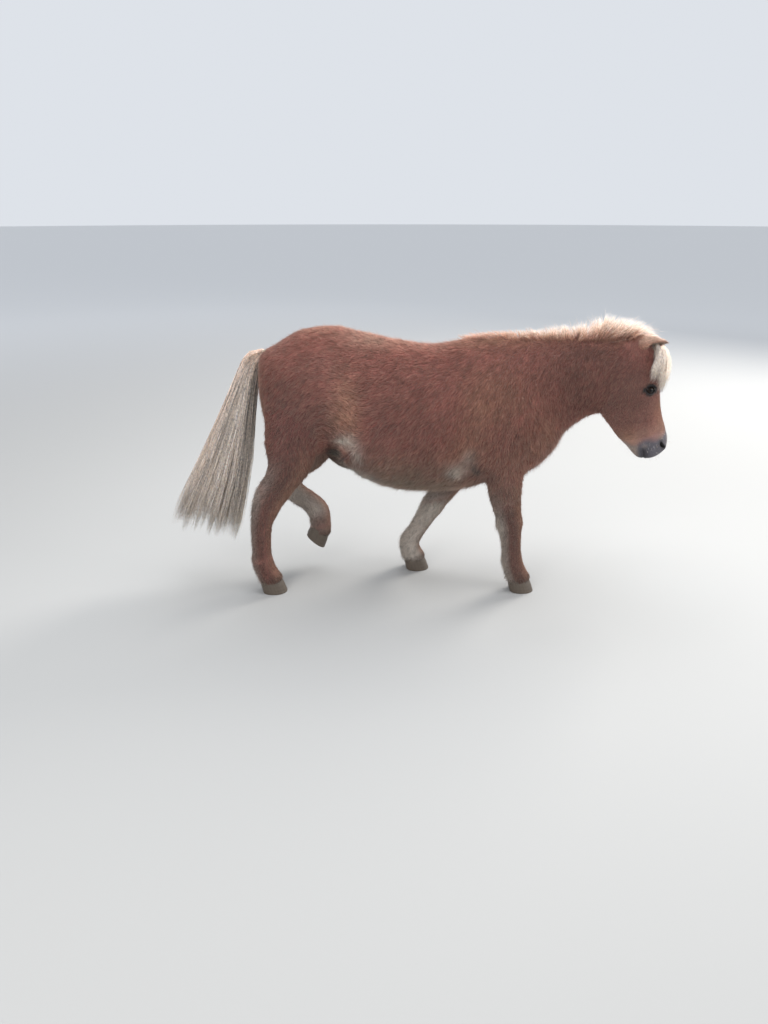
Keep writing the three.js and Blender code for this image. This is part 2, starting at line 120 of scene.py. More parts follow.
SHEATH = [
    [-84, 0, 462, 16, 24, 2, 2], [-112, 0, 478, 52, 62, 2, 2], [-156, 0, 504, 70, 80, 2, 2],
    [-208, 0, 540, 52, 66, 2, 2], [-236, 0, 560, 10, 14, 2, 2],
]
TAIL = [
    [-404, 0, 884, 40, 44, 2, 0], [-438, 0, 884, 56, 54, 2, 0], [-468, 0, 856, 70, 66, 2, 0],
    [-494, 0, 790, 88, 84, 2, 0], [-522, 0, 700, 114, 100, 2.1, 0], [-576, 0, 528, 176, 116, 2.2, 0],
    [-644, 0, 340, 230, 130, 2.3, 0], [-688, 0, 236, 262, 124, 2.4, 0], [-704, 0, 186, 246, 96, 2.4, 0],
]

# Eyes, nostrils and mouth: where they lie down the face, out from its line and beside the middle

EYE = {"down": 169, "out": -60, "beside": 66}
EYE_RADIUS = 20 * MM
LID = 2.6 * MM
LID_EDGE = 1.6 * MM
EYE_OPENING = {"long": 19.5, "tall": 14, "slant": 20}
NOSTRIL = {"down": 394, "out": -30, "beside": 47}
NOSTRIL_SIZE = (14.5 * MM, 6.4 * MM, 19 * MM)
MOUTH = {"corner": 384, "middle": 445, "out": -99, "slope": -0.05}
MOUTH_GROOVE = {"depth": 4.2 * MM, "half": 1.9 * MM}

# Swellings of the body, the same on both sides: middle (ahead, beside, up), reach the same way, height

BODY_FORMS = [
    [-150, 128, 905, 50, 45, 40, 7], [-40, 185, 640, 55, 60, 120, -12], [-105, 150, 575, 50, 60, 60, 8],
    [-172, 140, 556, 36, 70, 50, -36], [-330, 120, 800, 70, 60, 110, 9], [-400, 60, 700, 40, 26, 120, 6],
    [-445, 0, 720, 60, 22, 130, -14], [470, 130, 640, 70, 50, 80, 9], [350, 135, 760, 60, 60, 130, 7],
    [400, 150, 520, 70, 50, 70, 8], [300, 165, 560, 34, 50, 110, -9], [560, 0, 560, 60, 18, 90, -10],
    [590, 60, 560, 50, 40, 60, 8], [560, 110, 760, 110, 40, 60, -5], [720, 70, 690, 130, 22, 26, -6],
]

# The same on the head: down the face, beside the middle, out, then reach the same way and height

HEAD_FORMS = [
    [150, 74, -30, 26, 20, 15, 6.5], [128, 80, -62, 22, 22, 20, -6], [205, 70, -62, 50, 20, 12, 4],
    [150, 84, -150, 60, 30, 52, 6], [232, 66, -110, 30, 22, 48, -4], [262, 52, -74, 60, 20, 8, 4],
    [300, 50, -42, 60, 22, 20, -5], [290, 56, -100, 44, 24, 34, -4], [250, 34, -175, 70, 24, 14, -5],
    [250, 0, -215, 110, 12, 26, -10], [70, 66, -40, 26, 26, 26, -5], [376, 46, -40, 16, 16, 16, 3],
    [408, 40, -22, 13, 16, 13, 4], [398, 50, -46, 14, 14, 9, 3], [420, 42, -72, 20, 22, 16, 3],
    [392, 48, -82, 24, 18, 14, -3], [415, 28, -118, 20, 24, 14, 4], [392, 34, -124, 18, 18, 10, -3],
]


def curve(rows, steps):
    """The table's values at steps + 1 even places, on smooth curves through three columns at a time.

    Each curve is a centripetal Catmull-Rom spline, whose slope at a row comes from the rows on
    both sides, weighted by the square root of their distances.
    """
    rows = np.asarray(rows, float)
    count, columns = rows.shape
    rows = np.pad(rows, ((0, 0), (0, -columns % 3)))
    place = np.linspace(0, count - 1, steps + 1)
    first = np.minimum(place.astype(int), count - 2)
    w = (place - first)[:, None]
    knots = np.vstack([2 * rows[0] - rows[1], rows, 2 * rows[-1] - rows[-2]])
    parts = []
    for k in range(0, rows.shape[1], 3):
        p0, p1, p2, p3 = (knots[first + j, k:k + 3] for j in range(4))
        d0, d1, d2 = (
            np.maximum(np.linalg.norm(b - a, axis=1, keepdims=True), 1e-6) ** 0.5
            for a, b in ((p0, p1), (p1, p2), (p2, p3))
        )
        start = d1 * ((p1 - p0) / d0 - (p2 - p0) / (d0 + d1) + (p2 - p1) / d1)
        end = d1 * ((p2 - p1) / d1 - (p3 - p1) / (d1 + d2) + (p3 - p2) / d2)
        bend = 3 * (p2 - p1) - 2 * start - end
        rest = 2 * (p1 - p2) + start + end
        parts.append(p1 + start * w + bend * w ** 2 + rest * w ** 3)
    return np.hstack(parts)[:, :columns]


def unit(vectors):
    """Each vector at length 1."""
    return vectors / np.maximum(np.linalg.norm(vectors, axis=-1, keepdims=True), 1e-12)


def smooth_min(a, b, width):
    """The lesser of two distances, rounded where they differ by less than the width."""
    share = np.maximum(width - np.abs(a - b), 0) / width
    return np.minimum(a, b) - share ** 2 * width / 4


def smooth_max(a, b, width):
    """The greater of two distances, rounded where they differ by less than the width."""
    return -smooth_min(-a, -b, width)


def ramp(value, start, end):
    """0 up to the start, rising evenly to 1 at the end."""
    return np.clip((value - start) / (end - start), 0, 1)


def hump(value, middle, reach):
    """1 at a middle, falling off on both sides as a bell curve."""
    return np.exp(-((value - middle) / reach) ** 2)


def folded(places):
    """Places of which those on the right side are laid on the left."""
    return places * [1, 0, 1] + np.abs(places) * [0, 1, 0]


def bell(places, middle, reach):
    """1 at a middle in millimetres, falling off all round as a bell curve."""
    away = (places - np.array(middle) * MM) / (np.array(reach) * MM)
    return np.exp(-(away ** 2).sum(axis=1))


def swell(places, forms):
    """The sum of soft bumps, or hollows where the height is below 0: each is its height times a bell."""
    places = folded(places)
    return sum(form[6] * MM * bell(places, form[:3], form[3:6]) for form in forms)


class Slices:
    """A body of parallel superellipse slices along a straight line."""

    END_BLEND = 24 * MM

    def __init__(self, origin, along, out, rows, steps=160):
        self.origin = np.array(origin, float)
        self.along = np.array(along, float)
        self.out = np.array(out, float)
        table = curve(rows, steps)
        table[:, [0, 1, 2, 3, 6]] *= MM
        self.table = table.T
        self.ends = table[0, 0], table[-1, 0]

    def places(self, points):
        """Distance along the line, out from it and to the left, of each point."""
        away = points - self.origin
        return np.stack([away @ self.along, away @ self.out, away[:, 1]], axis=1)

    def column(self, along, number):
        """A column of the table at places along the line."""
        return np.interp(along, self.table[0], self.table[number])

    def middle(self, along):
        """How far out the middle of the slices lies."""
        return (self.column(along, 1) + self.column(along, 2)) / 2

    def reach(self, along, out, left):
        """1 on the outline: the superellipse sum of the shares of the half height and half width."""
        front, back, width, egg, square = (self.column(along, k) for k in range(1, 6))
        rise = (out - (front + back) / 2) / ((front - back) / 2)
        size = np.abs(rise)
        lean = 1 - egg * np.sign(rise) * np.minimum(size, 1) ** (square / 2)
        across = np.abs(left) / (width / 2 * lean)
        return (size ** square + across ** square) ** (1 / square)

    def distance(self, points):
        """Roughly how far each point lies outside the skin: the reach past 1 over its slope."""
        step = 0.5 * MM
        along, out, left = self.places(points).T
        here = self.reach(along, out, left)
        slopes = [
            self.reach(along + step, out, left) - here,
            self.reach(along, out + step, left) - here,
            self.reach(along, out, np.abs(left) + step) - here,
        ]
        steep = np.sqrt(sum(slope ** 2 for slope in slopes)) / step
        side = (here - 1) / np.maximum(steep, 1)
        start, end = self.ends
        cap = np.maximum(start - along, along - end)
        return smooth_max(side, cap, self.END_BLEND) + self.column(along, 6)


class Limb:
    """A body of superellipse sections carried along a path."""

    EASE = 0.07

    def __init__(self, rows, steps=36):
        table = curve(rows, steps)
        table[:, [0, 1, 2, 3, 4, 6]] *= MM
        table[:, 0] -= LOIN
        self.path = table[:, :3]
        self.sizes = table[:, 3:]
        self.ends = 0, steps
        reach = self.EASE * steps
        places = np.arange(steps + 1)
        ahead = self.at(np.minimum(places + reach, steps))
        behind = self.at(np.maximum(places - reach, 0))
        self.tangent = unit(ahead - behind)
        self.left = unit(LEFTWARD - self.tangent * self.tangent[:, 1:2])
        self.out = np.cross(self.tangent, self.left)

    def at(self, place):
        """The point on the path at a fractional step number."""
        steps = np.arange(len(self.path))
        return np.stack([np.interp(place, steps, self.path[:, k]) for k in range(3)], axis=1)

    def nearest(self, points):
        """The fractional step number of the nearest place on the path."""
        best = np.full(len(points), np.inf)
        place = np.zeros(len(points))
        for i in range(len(self.path) - 1):
            run = self.path[i + 1] - self.path[i]
            share = np.clip((points - self.path[i]) @ run / (run @ run), 0, 1)
            away = points - self.path[i] - share[:, None] * run
            size = (away ** 2).sum(axis=1)
            closer = size < best
            best[closer] = size[closer]
            place[closer] = i + share[closer]
        return place

    def mix(self, values, place):
        """Values of the steps, at fractional step numbers."""
        first = np.minimum(place.astype(int), len(values) - 2)
        share = place - first
        if values.ndim > 1:
            share = share[:, None]
        return values[first] * (1 - share) + values[first + 1] * share

    def places(self, points):
        """Distance along the path, out (to the front) and left of it, and past its ends."""
        place = self.nearest(points)
        away = points - self.mix(self.path, place)
        along, out, left = (
            (away * self.mix(axis, place)).sum(axis=1) for axis in (self.tangent, self.out, self.left)
        )
        beyond = np.where((place <= 0) | (place >= len(self.path) - 1), np.abs(along), 0)
        return place, out, left, beyond

    def distance(self, points):
        """Roughly how far each point lies outside the skin: the reach past 1 over its slope."""
        place, out, left, beyond = self.places(points)
        depth, width, square, coat = self.mix(self.sizes, place).T
        front, across = np.abs(out) / (depth / 2), np.abs(left) / (width / 2)
        here = np.maximum((front ** square + across ** square) ** (1 / square), 1e-6)
        slopes = (
            (front / here) ** (square - 1) / (depth / 2),
            (across / here) ** (square - 1) / (width / 2),
        )
        side = (here - 1) / np.sqrt(slopes[0] ** 2 + slopes[1] ** 2)
        side = np.where(beyond > 0, np.hypot(np.maximum(side, 0), beyond) + np.minimum(side, 0), side)
        return side + coat


def leg(name):
    """A leg from its rows, with how far its path lies beside the middle put in as a column.

    LEG_ROOTS has that distance for the first three rows, and LEG_TRACK for all the rows below.
    """
    limb, side = name.split("_")
    rows = np.array(LEGS[name], float)
    beside = np.full(len(rows), float(LEG_TRACK[limb]))
    beside[:3] = LEG_ROOTS[limb]
    return Limb(np.insert(rows, 1, beside if side == "left" else -beside, axis=1))


trunk = Slices((-LOIN, 0, 0), (1, 0, 0), (0, 0, 1), TRUNK)
head = Slices(
    (946 * MM - LOIN, 0, 950 * MM),
    (math.sin(FACE_TILT), 0, -math.cos(FACE_TILT)),
    (math.cos(FACE_TILT), 0, math.sin(FACE_TILT)),
    HEAD,
)
legs = {name: leg(name) for name in LEGS}
sheath = Limb(SHEATH, 16)
tail = Limb(TAIL)


def on_head(down, out, beside, side=1):
    """A place on the head, in metres, from millimetres down the face, out and beside."""
    return head.origin + head.along * down * MM + head.out * out * MM + LEFTWARD * beside * side * MM


def eye_axes(side):
    """The middle of an eye, and its directions: along the opening, across it and the gaze."""
    slant = math.radians(EYE_OPENING["slant"])
    gaze = unit(0.93 * side * LEFTWARD + 0.30 * head.out + 0.10 * head.along)
    long = unit(math.cos(slant) * head.out + math.sin(slant) * head.along)
    long = unit(long - gaze * (long @ gaze))
    tall = -np.cross(gaze, long) * side
    return on_head(side=side, **EYE), long, tall, gaze


def lid_shape(points, side):
    """Places of points round an eye, in metres: along the opening, above it, out along the gaze."""
    middle, *axes = eye_axes(side)
    away = points - middle
    return [away @ axis for axis in axes]


def eye_opening(points, side):
    """How far a point lies outside the almond between the lids, seen along the gaze."""
    along, above, outward = lid_shape(points, side)
    long, tall = EYE_OPENING["long"] * MM, EYE_OPENING["tall"] * MM
    share = np.clip(np.abs(along) / long, 0, 1)
    upper = tall * (1 - share ** 2.2) ** 0.75
    lower = 0.82 * tall * (1 - share ** 1.8) ** 0.8
    edge = np.where(above > 0, above - upper, -above - lower)
    edge = np.maximum(edge, np.abs(along) - long)
    return np.maximum(edge, 2 * MM - outward)


def eye_folds(points, side):
    """Creases round the lids: two above the upper lid, a softer one below, rings of bell curves."""
    along, above, outward = lid_shape(points, side)
    long, tall = EYE_OPENING["long"] * MM, EYE_OPENING["tall"] * MM
    ring = np.sqrt((along / (long * 1.25)) ** 2 + (above / (tall * 1.5)) ** 2)
    upper, lower = np.clip(above / tall, 0, 1), np.clip(-above / tall, 0, 1)
    creases = hump(ring, 1.08, 0.10) * upper + 0.7 * hump(ring, 1.2, 0.13) * lower
    creases = creases + 0.5 * hump(ring, 1.42, 0.10) * upper
    return creases * hump(outward, 18 * MM, 14 * MM) * 1.6 * MM


def nostril_axes(side):
    """The middle of a nostril, and its directions: along the slit, across it, and out of it."""
    outward = unit(0.86 * side * LEFTWARD + 0.50 * head.out + 0.22 * head.along)
    long = unit(head.along * 0.80 + head.out * 0.45)
    long = unit(long - outward * (long @ outward))
    return on_head(side=side, **NOSTRIL), long, np.cross(outward, long) * side, outward


def nostril_room(points, side):
    """How far a point lies outside the nostril, a bent ellipsoid."""
    middle, *axes = nostril_axes(side)
    away = points - middle
    u, v, w = (away @ axis for axis in axes)
    v = v + 16 * u ** 2 - 2 * MM
    long, tall, deep = NOSTRIL_SIZE
    return (np.sqrt((u / long) ** 2 + (v / tall) ** 2 + (w / deep) ** 2) - 1) * tall


def mouth_cut(places):
    """The depth of the groove between the lips, from its corner round the front of the muzzle."""
    down, out, _ = places.T
    corner = MOUTH["corner"] * MM
    line = MOUTH["out"] * MM + MOUTH["slope"] * (MOUTH["middle"] * MM - down)
    groove = MOUTH_GROOVE["depth"] * hump(out, line, MOUTH_GROOVE["half"])
    return groove * ramp(down, corner, corner + 8 * MM)


def head_distance(points):
    """The head's form, with its swellings, lids, nostrils and mouth."""
    places = head.places(points)
    form = head.distance(points) - swell(places[:, [0, 2, 1]], HEAD_FORMS) + mouth_cut(places)
    for side in SIDES:
        ball = np.linalg.norm(points - eye_axes(side)[0], axis=1) - (EYE_RADIUS + LID)
        form = smooth_min(form, ball, 9 * MM) + eye_folds(points, side)
        form = smooth_max(form, -nostril_room(points, side), 2.5 * MM)
        form = smooth_max(form, -eye_opening(points, side), LID_EDGE)
    return form


def trunk_distance(points):
    """The trunk's and neck's form, with their swellings and hollows."""
    return trunk.distance(points) - swell(points + [LOIN, 0, 0], BODY_FORMS)


def near(points, low, high, margin):
    """Which points lie in a box, and up to the margin outside it."""
    return np.all((points > low - margin) & (points < high + margin), axis=1)


def near_eye(points, side, reach):
    """Which points lie within a reach of an eye's middle."""
    return np.linalg.norm(points - eye_axes(side)[0], axis=1) < reach


def limb_box(limb):
    """Two corners of a box round a limb."""
    reach = limb.sizes[:, :2].max(axis=1)[:, None] / 2
    return (limb.path - reach).min(axis=0), (limb.path + reach).max(axis=0)


# Boxes round the head and round the whole body, in metres

HEAD_BOX = (np.array([0.66, -0.12, 0.48]), np.array([0.96, 0.12, 0.99]))
BODY_BOX = (np.array([-0.64, -0.24, 0.005]), np.array([0.97, 0.24, 1.02]))


def skin_distance(points):
    """How far each point lies outside the pony's skin: all forms, smoothly joined."""
    margin = 60 * MM
    form = trunk_distance(points)
    for limb in (*legs.values(), sheath):
        inside = near(points, *limb_box(limb), margin)
        width = FLESH_BLEND / 2 if limb is sheath else FLESH_BLEND
        form[inside] = smooth_min(form[inside], limb.distance(points[inside]), width)
    inside = near(points, *HEAD_BOX, margin)
    form[inside] = smooth_min(form[inside], head_distance(points[inside]), NECK_BLEND)
    for side in SIDES:
        close = near_eye(points, side, 40 * MM)
        form[close] = smooth_max(form[close], -eye_opening(points[close], side), LID_EDGE)
    return form


def field_on_grid(low, counts, grain):
    """The skin's distances on a grid, worked out finely only where a coarse look finds the skin near."""
    coarse = 4
    axes = [np.arange(0, n + coarse, coarse) for n in counts]
    blocks = np.stack(np.meshgrid(*axes, indexing="ij"), axis=-1).reshape(-1, 3)
    rough = skin_distance(low + blocks * grain)
    values = np.full([n + 2 * coarse for n in counts], 0.1)
    offsets = np.stack(np.meshgrid(*[np.arange(coarse)] * 3, indexing="ij"), axis=-1).reshape(-1, 3)
    filled = (blocks[:, None] + offsets).reshape(-1, 3)
    values[tuple(filled.T)] = np.repeat(rough, coarse ** 3)
    close = np.abs(rough) < coarse * grain * 2.4
    fine = (blocks[close][:, None] + offsets).reshape(-1, 3)
    values[tuple(fine.T)] = skin_distance(low + fine * grain)
    return values


def to_surface(points, rounds=2):
    """Points moved onto the skin: along the field's slope by the field's value over its slope."""
    step = 0.3 * MM
    for _ in range(rounds):
        here = skin_distance(points)
        slope = np.stack([skin_distance(points + step * axis) - here for axis in np.eye(3)], axis=1) / step
        size = np.maximum((slope ** 2).sum(axis=1), 0.25)
        move = -here / size
        points = points + slope * np.clip(move, -SKIN_GRAIN, SKIN_GRAIN)[:, None]
    return points, unit(slope)


def coarse_skin():
    """The whole skin as one mesh of squares, from the distances on a grid."""
    low, high = BODY_BOX
    counts = np.ceil((high - low) / SKIN_GRAIN).astype(int)
    grid = openvdb.FloatGrid(0.1)
    grid.copyFromArray(field_on_grid(low, counts, SKIN_GRAIN).astype(np.float32))
    points, quads = grid.convertToQuads(0)
    points, _ = to_surface(low + np.asarray(points, float) * SKIN_GRAIN)
    return points, np.asarray(quads)


def refine(mesh, chosen):
    """Halves the edges whose two ends are chosen, and moves the new points onto the skin."""
    chosen_edges = [e for e in mesh.edges if chosen[e.verts[0].index] and chosen[e.verts[1].index]]
    bmesh.ops.subdivide_edges(
        mesh, edges=chosen_edges, cuts=1, use_grid_fill=True, use_single_edge=True
    )
    mesh.verts.ensure_lookup_table()
    mesh.verts.index_update()


def positions(mesh):
    """The mesh's points, as an array."""
    return np.array([vertex.co[:] for vertex in mesh.verts])


def move_to(mesh, points):
    """Moves the mesh's points to the array's."""
    for vertex, point in zip(mesh.verts, points):
        vertex.co = point


def skin_mesh():
    """The whole skin: the coarse mesh, refined on the head, then at the muzzle and eyes, then finest."""
    points, quads = coarse_skin()
    data = bpy.data.meshes.new("skin")
    data.from_pydata(points, [], quads)
    mesh = bmesh.new()
    mesh.from_mesh(data)
    mesh.verts.ensure_lookup_table()
    for zone in (head_zone, detail_zone, fine_zone):
        refine(mesh, zone(positions(mesh)))
        points = positions(mesh)
        chosen = near(points, *HEAD_BOX, NECK_BLEND)
        points[chosen] = to_surface(points[chosen])[0]
        move_to(mesh, points)
    mesh.to_mesh(data)
    mesh.free()
    return data


def head_zone(points):
    """Which points lie on the head."""
    down, out, _ = head.places(points).T
    return (down > -10 * MM) & (out > -250 * MM) & (points[:, 0] > 700 * MM)


def round_both(points, axes, reach):
    """Which points lie within a reach of either of a pair of places."""
    away = [np.linalg.norm(points - axes(side)[0], axis=1) for side in SIDES]
    return np.minimum(*away) < reach


def detail_zone(points):
    """Which points lie on the muzzle or round the eyes."""
    muzzle = head.places(points)[:, 0] > 350 * MM
    return head_zone(points) & (muzzle | round_both(points, eye_axes, 44 * MM))


def fine_zone(points):
    """Which points lie at the lids or nostrils."""
    return round_both(points, eye_axes, 29 * MM) | round_both(points, nostril_axes, 22 * MM)


# Meshes from arrays

def read_mesh(data):
    """Points, normals, corner numbers and face starts and sizes of a mesh, as arrays."""
    points = np.empty(len(data.vertices) * 3)
    normals = np.empty(len(data.vertices) * 3)
    corners = np.empty(len(data.loops), int)
    starts = np.empty(len(data.polygons), int)
    sizes = np.empty(len(data.polygons), int)
    data.vertices.foreach_get("co", points)
    data.vertices.foreach_get("normal", normals)
    data.loops.foreach_get("vertex_index", corners)
    data.polygons.foreach_get("loop_start", starts)
    data.polygons.foreach_get("loop_total", sizes)
    return points.reshape(-1, 3), normals.reshape(-1, 3), corners, starts, sizes


def new_mesh(name, points, corners, sizes):
    """A smooth-shaded mesh from points, the corner numbers of all faces in a row, and the faces' sizes."""
    data = bpy.data.meshes.new(name)
    data.vertices.add(len(points))
    data.vertices.foreach_set("co", np.ascontiguousarray(points, np.float32).ravel())
    data.loops.add(len(corners))
    data.loops.foreach_set("vertex_index", np.ascontiguousarray(corners, np.int32))
    data.polygons.add(len(sizes))
    data.polygons.foreach_set("loop_start", np.concatenate([[0], np.cumsum(sizes)[:-1]]).astype(np.int32))
    data.polygons.foreach_set("use_smooth", np.ones(len(sizes), bool))
    data.update(calc_edges=True)
    data.validate()
    return data


def carry(data, name, values):
    """Gives each point of a mesh a colour or three numbers, under a name that materials read."""
    layer = data.attributes.new(name, "FLOAT_COLOR", "POINT")
    layer.data.foreach_set("color", np.c_[values, np.ones(len(values))].astype(np.float32).ravel())


def unwrap(data, name, places):
    """Gives each corner of a mesh a place on a UV map."""
    layer = data.uv_layers.new(name=name)
    layer.data.foreach_set("uv", np.ascontiguousarray(places, np.float32).ravel())


def in_scene(name, data, material):
    """Puts a mesh in the scene as an object of one material."""
    piece = bpy.data.objects.new(name, data)
    bpy.context.scene.collection.objects.link(piece)
    data.materials.append(material)
    return piece


def add_piece(name, data, material, slot, *nodes):
    """Adds a mesh as a piece of the pony, in place of the CAD nodes that it stands for."""
    piece = in_scene(name, data, material)
    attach(piece, "root")
    if nodes:
        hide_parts(*nodes)


def ring_mesh(name, points):
    """A mesh of rings of points, each joined to the next by squares, with one face across each end.

    points is (number of rings, points in a ring, 3). Gives the mesh and its corner numbers.
    """
    count, around, _ = points.shape
    i, j = np.meshgrid(np.arange(count - 1), np.arange(around), indexing="ij")
    a, b = i * around + j, i * around + (j + 1) % around
    quads = np.stack([a, b, b + around, a + around], axis=-1).reshape(-1, 4)
    first = np.arange(around)[::-1]
    last = np.arange(around) + (count - 1) * around
    corners = np.concatenate([quads.ravel(), first, last])
    sizes = np.concatenate([np.full(len(quads), 4), [around, around]])
    return new_mesh(name, points.reshape(-1, 3), corners, sizes), corners


def once_round(around):
    """Even angles once round."""
    return np.linspace(0, 2 * np.pi, around, endpoint=False)


def waves(points, length, seed, count=7):
    """A smooth random field, about -1 to 1: 1.6 times the mean of sine waves in random directions."""
    dice = np.random.default_rng(seed)
    total = np.zeros(len(points))
    for _ in range(count):
        heading = unit(dice.normal(size=3)) * 2 * np.pi / (length * dice.uniform(0.7, 1.5))
        total += np.sin(points @ heading + dice.uniform(0, 2 * np.pi))
    return total / count * 1.6


# Regions of the body, for the unwrap and the coat

REGIONS = {"trunk": trunk, "head": head, **legs, "sheath": sheath}
LIMBS = list(enumerate(REGIONS.values()))[2:]
FORELEGS = (2, 3)
HIND_LEGS = (4, 5)
SHEATH_NUMBER = 6


def region_shares(points):
    """How much each point belongs to each region: a soft choice of the nearest form."""
    away = [trunk_distance(points), head_distance(points)]
    away = np.stack(away + [limb.distance(points) for _, limb in LIMBS], axis=1)
    shares = np.exp(-(away - away.min(axis=1, keepdims=True)) / (20 * MM))
    return shares / shares.sum(axis=1, keepdims=True)


def round_form(form, points):
    """Distance along a form, and the angle round it from its front or top."""
    if isinstance(form, Slices):
        along, out, left = form.places(points).T
        out = out - form.middle(along)
    else:
        along, out, left, _ = form.places(points)
    return along, np.arctan2(left, out)


# Each region's box on the UV map: left, bottom, right, top

CHARTS = {
    "trunk": (0.01, 0.01, 0.61, 0.55),
    "head": (0.63, 0.01, 0.86, 0.28),
    "fore_right": (0.01, 0.57, 0.39, 0.70),
    "fore_left": (0.01, 0.72, 0.39, 0.85),
    "hind_right": (0.41, 0.57, 0.81, 0.72),
    "hind_left": (0.41, 0.74, 0.81, 0.89),
    "sheath": (0.84, 0.57, 0.90, 0.64),
    "ear_right": (0.63, 0.31, 0.79, 0.43),
    "ear_left": (0.81, 0.31, 0.97, 0.43),
    "tail": (0.84, 0.68, 0.97, 0.95),
}
TURN_ROOM = 1.15 * np.pi
CHART_ENDS = {"tail": tail.ends, **{name: form.ends for name, form in REGIONS.items()}}


def chart(name, along, turn):
    """A place on the UV map: along a region in one direction, and by the angle round it in the other."""
    low, high = CHART_ENDS.get(name, (0, 1))
    left, bottom, right, top = CHARTS[name]
    share = np.clip((along - low) / (high - low), 0, 1)
    rise = np.clip(turn / TURN_ROOM / 2 + 0.5, 0, 1)
    return np.stack([left + (right - left) * share, bottom + (top - bottom) * rise], axis=-1)


def skin_chart(points, corners, starts, sizes, shares):
    """A place on the UV map for each corner, with all corners of a face in one region's chart."""
    places = np.zeros((len(corners), 2))
    face_of = np.repeat(np.arange(len(sizes)), sizes)
    region = shares[corners[starts]].argmax(axis=1)[face_of]
    for number, (name, form) in enumerate(REGIONS.items()):
        mine = region == number
        along, turn = round_form(form, points)
        first = turn[corners[starts]][face_of[mine]]
        here = turn[corners[mine]]
        here = here + 2 * np.pi * np.round((first - here) / (2 * np.pi))
        places[mine] = chart(name, along[corners[mine]], here)
    return places


# Ears, each a leaf rolled into a cup: share of the length, half height, half width, half angle wrapped

EAR_LEAF = [
    [0.00, 15, 14, 170], [0.24, 20, 18, 160], [0.44, 25, 21, 132], [0.64, 23, 18, 112],
    [0.82, 15, 12, 100], [0.94, 7, 6, 94], [1.00, 1.8, 1.6, 90],
]
EAR_RINGS = 26
EAR_HALF = 22
EAR_ROOT = {"down": 24, "out": -92, "beside": 40}
EAR_TIP = {"ahead": 974, "beside": 71, "up": 936}
EAR_WALL = 2.6 * MM


def ear_axes(side):
    """The root of an ear, its tip, and the directions that its cup opens and is wide in."""
    root = on_head(side=side, **EAR_ROOT)
    tip = np.array([EAR_TIP["ahead"] * MM - LOIN, EAR_TIP["beside"] * side * MM, EAR_TIP["up"] * MM])
    along = unit(tip - root)
    opening = np.array([0.25, 0.80 * side, -0.55])
    opening = unit(opening - along * (along @ opening))
    return root, tip, opening, np.cross(along, opening)


def ear_points(side):
    """Rings of points over the outside of the leaf and back over its inside, from root to tip.

    A point of the leaf lies at its angle on an ellipse round the middle line, up to the row's half
    angle in degrees on both sides. The inside lies a wall's thickness nearer to the middle, and the
    edge is rounded by one point between.
    """
    root, tip, opening, wide = ear_axes(side)
    share, high, across, wrap = curve(EAR_LEAF, EAR_RINGS - 1).T[:, :, None]
    angle = np.linspace(-1, 1, EAR_HALF)
    loop = np.concatenate([angle, [1.0], angle[::-1], [-1.0]])
    inward = np.concatenate([np.zeros(EAR_HALF), [0.5], np.ones(EAR_HALF), [0.5]])
    turn = loop * np.radians(wrap) + np.sign(loop) * 0.06 * (inward == 0.5)
    middle = root + (tip - root) * share - opening * (10 * MM * np.sin(share * np.pi))
    shrink = np.minimum(EAR_WALL, 0.8 * across * MM) * inward
    up = (high * MM - shrink) * np.cos(turn)
    out = (across * MM - shrink) * np.sin(turn)
    points = middle[:, None] - up[..., None] * opening + out[..., None] * wide
    return points if side > 0 else points[:, ::-1]


# The coat: lengths, widths and lift of its tufts. Rows: place, length, width, degrees off the skin

TRUNK_COAT = [
    [-446, 23, 1.9, 11], [-300, 26, 2.0, 11], [-100, 29, 2.1, 12], [100, 31, 2.2, 13], [300, 32, 2.2, 13],
    [450, 32, 2.2, 14], [560, 31, 2.1, 15], [650, 28, 2.0, 14], [760, 24, 1.9, 13], [915, 17, 1.6, 13],
]
LEG_COAT = [
    [0.00, 30, 2.1, 12], [0.30, 24, 1.9, 12], [0.45, 17, 1.6, 11], [0.60, 13, 1.4, 11],
    [0.80, 12, 1.2, 12], [0.92, 14, 1.2, 15], [0.97, 15, 1.2, 10], [1.00, 15, 1.2, 8],
]
HEAD_COAT = [
    [-16, 18, 1.8, 14], [60, 14, 1.6, 12], [150, 11, 1.35, 11], [250, 9, 1.2, 11],
    [330, 6.5, 1.0, 11], [370, 4, 0.75, 12], [410, 2.6, 0.6, 13], [445, 2, 0.5, 15],
]
SHEATH_COAT = (9, 1.1, 12)

# The lie of the coat on the body: ahead, up, then the way it runs (ahead, away from the middle, up)

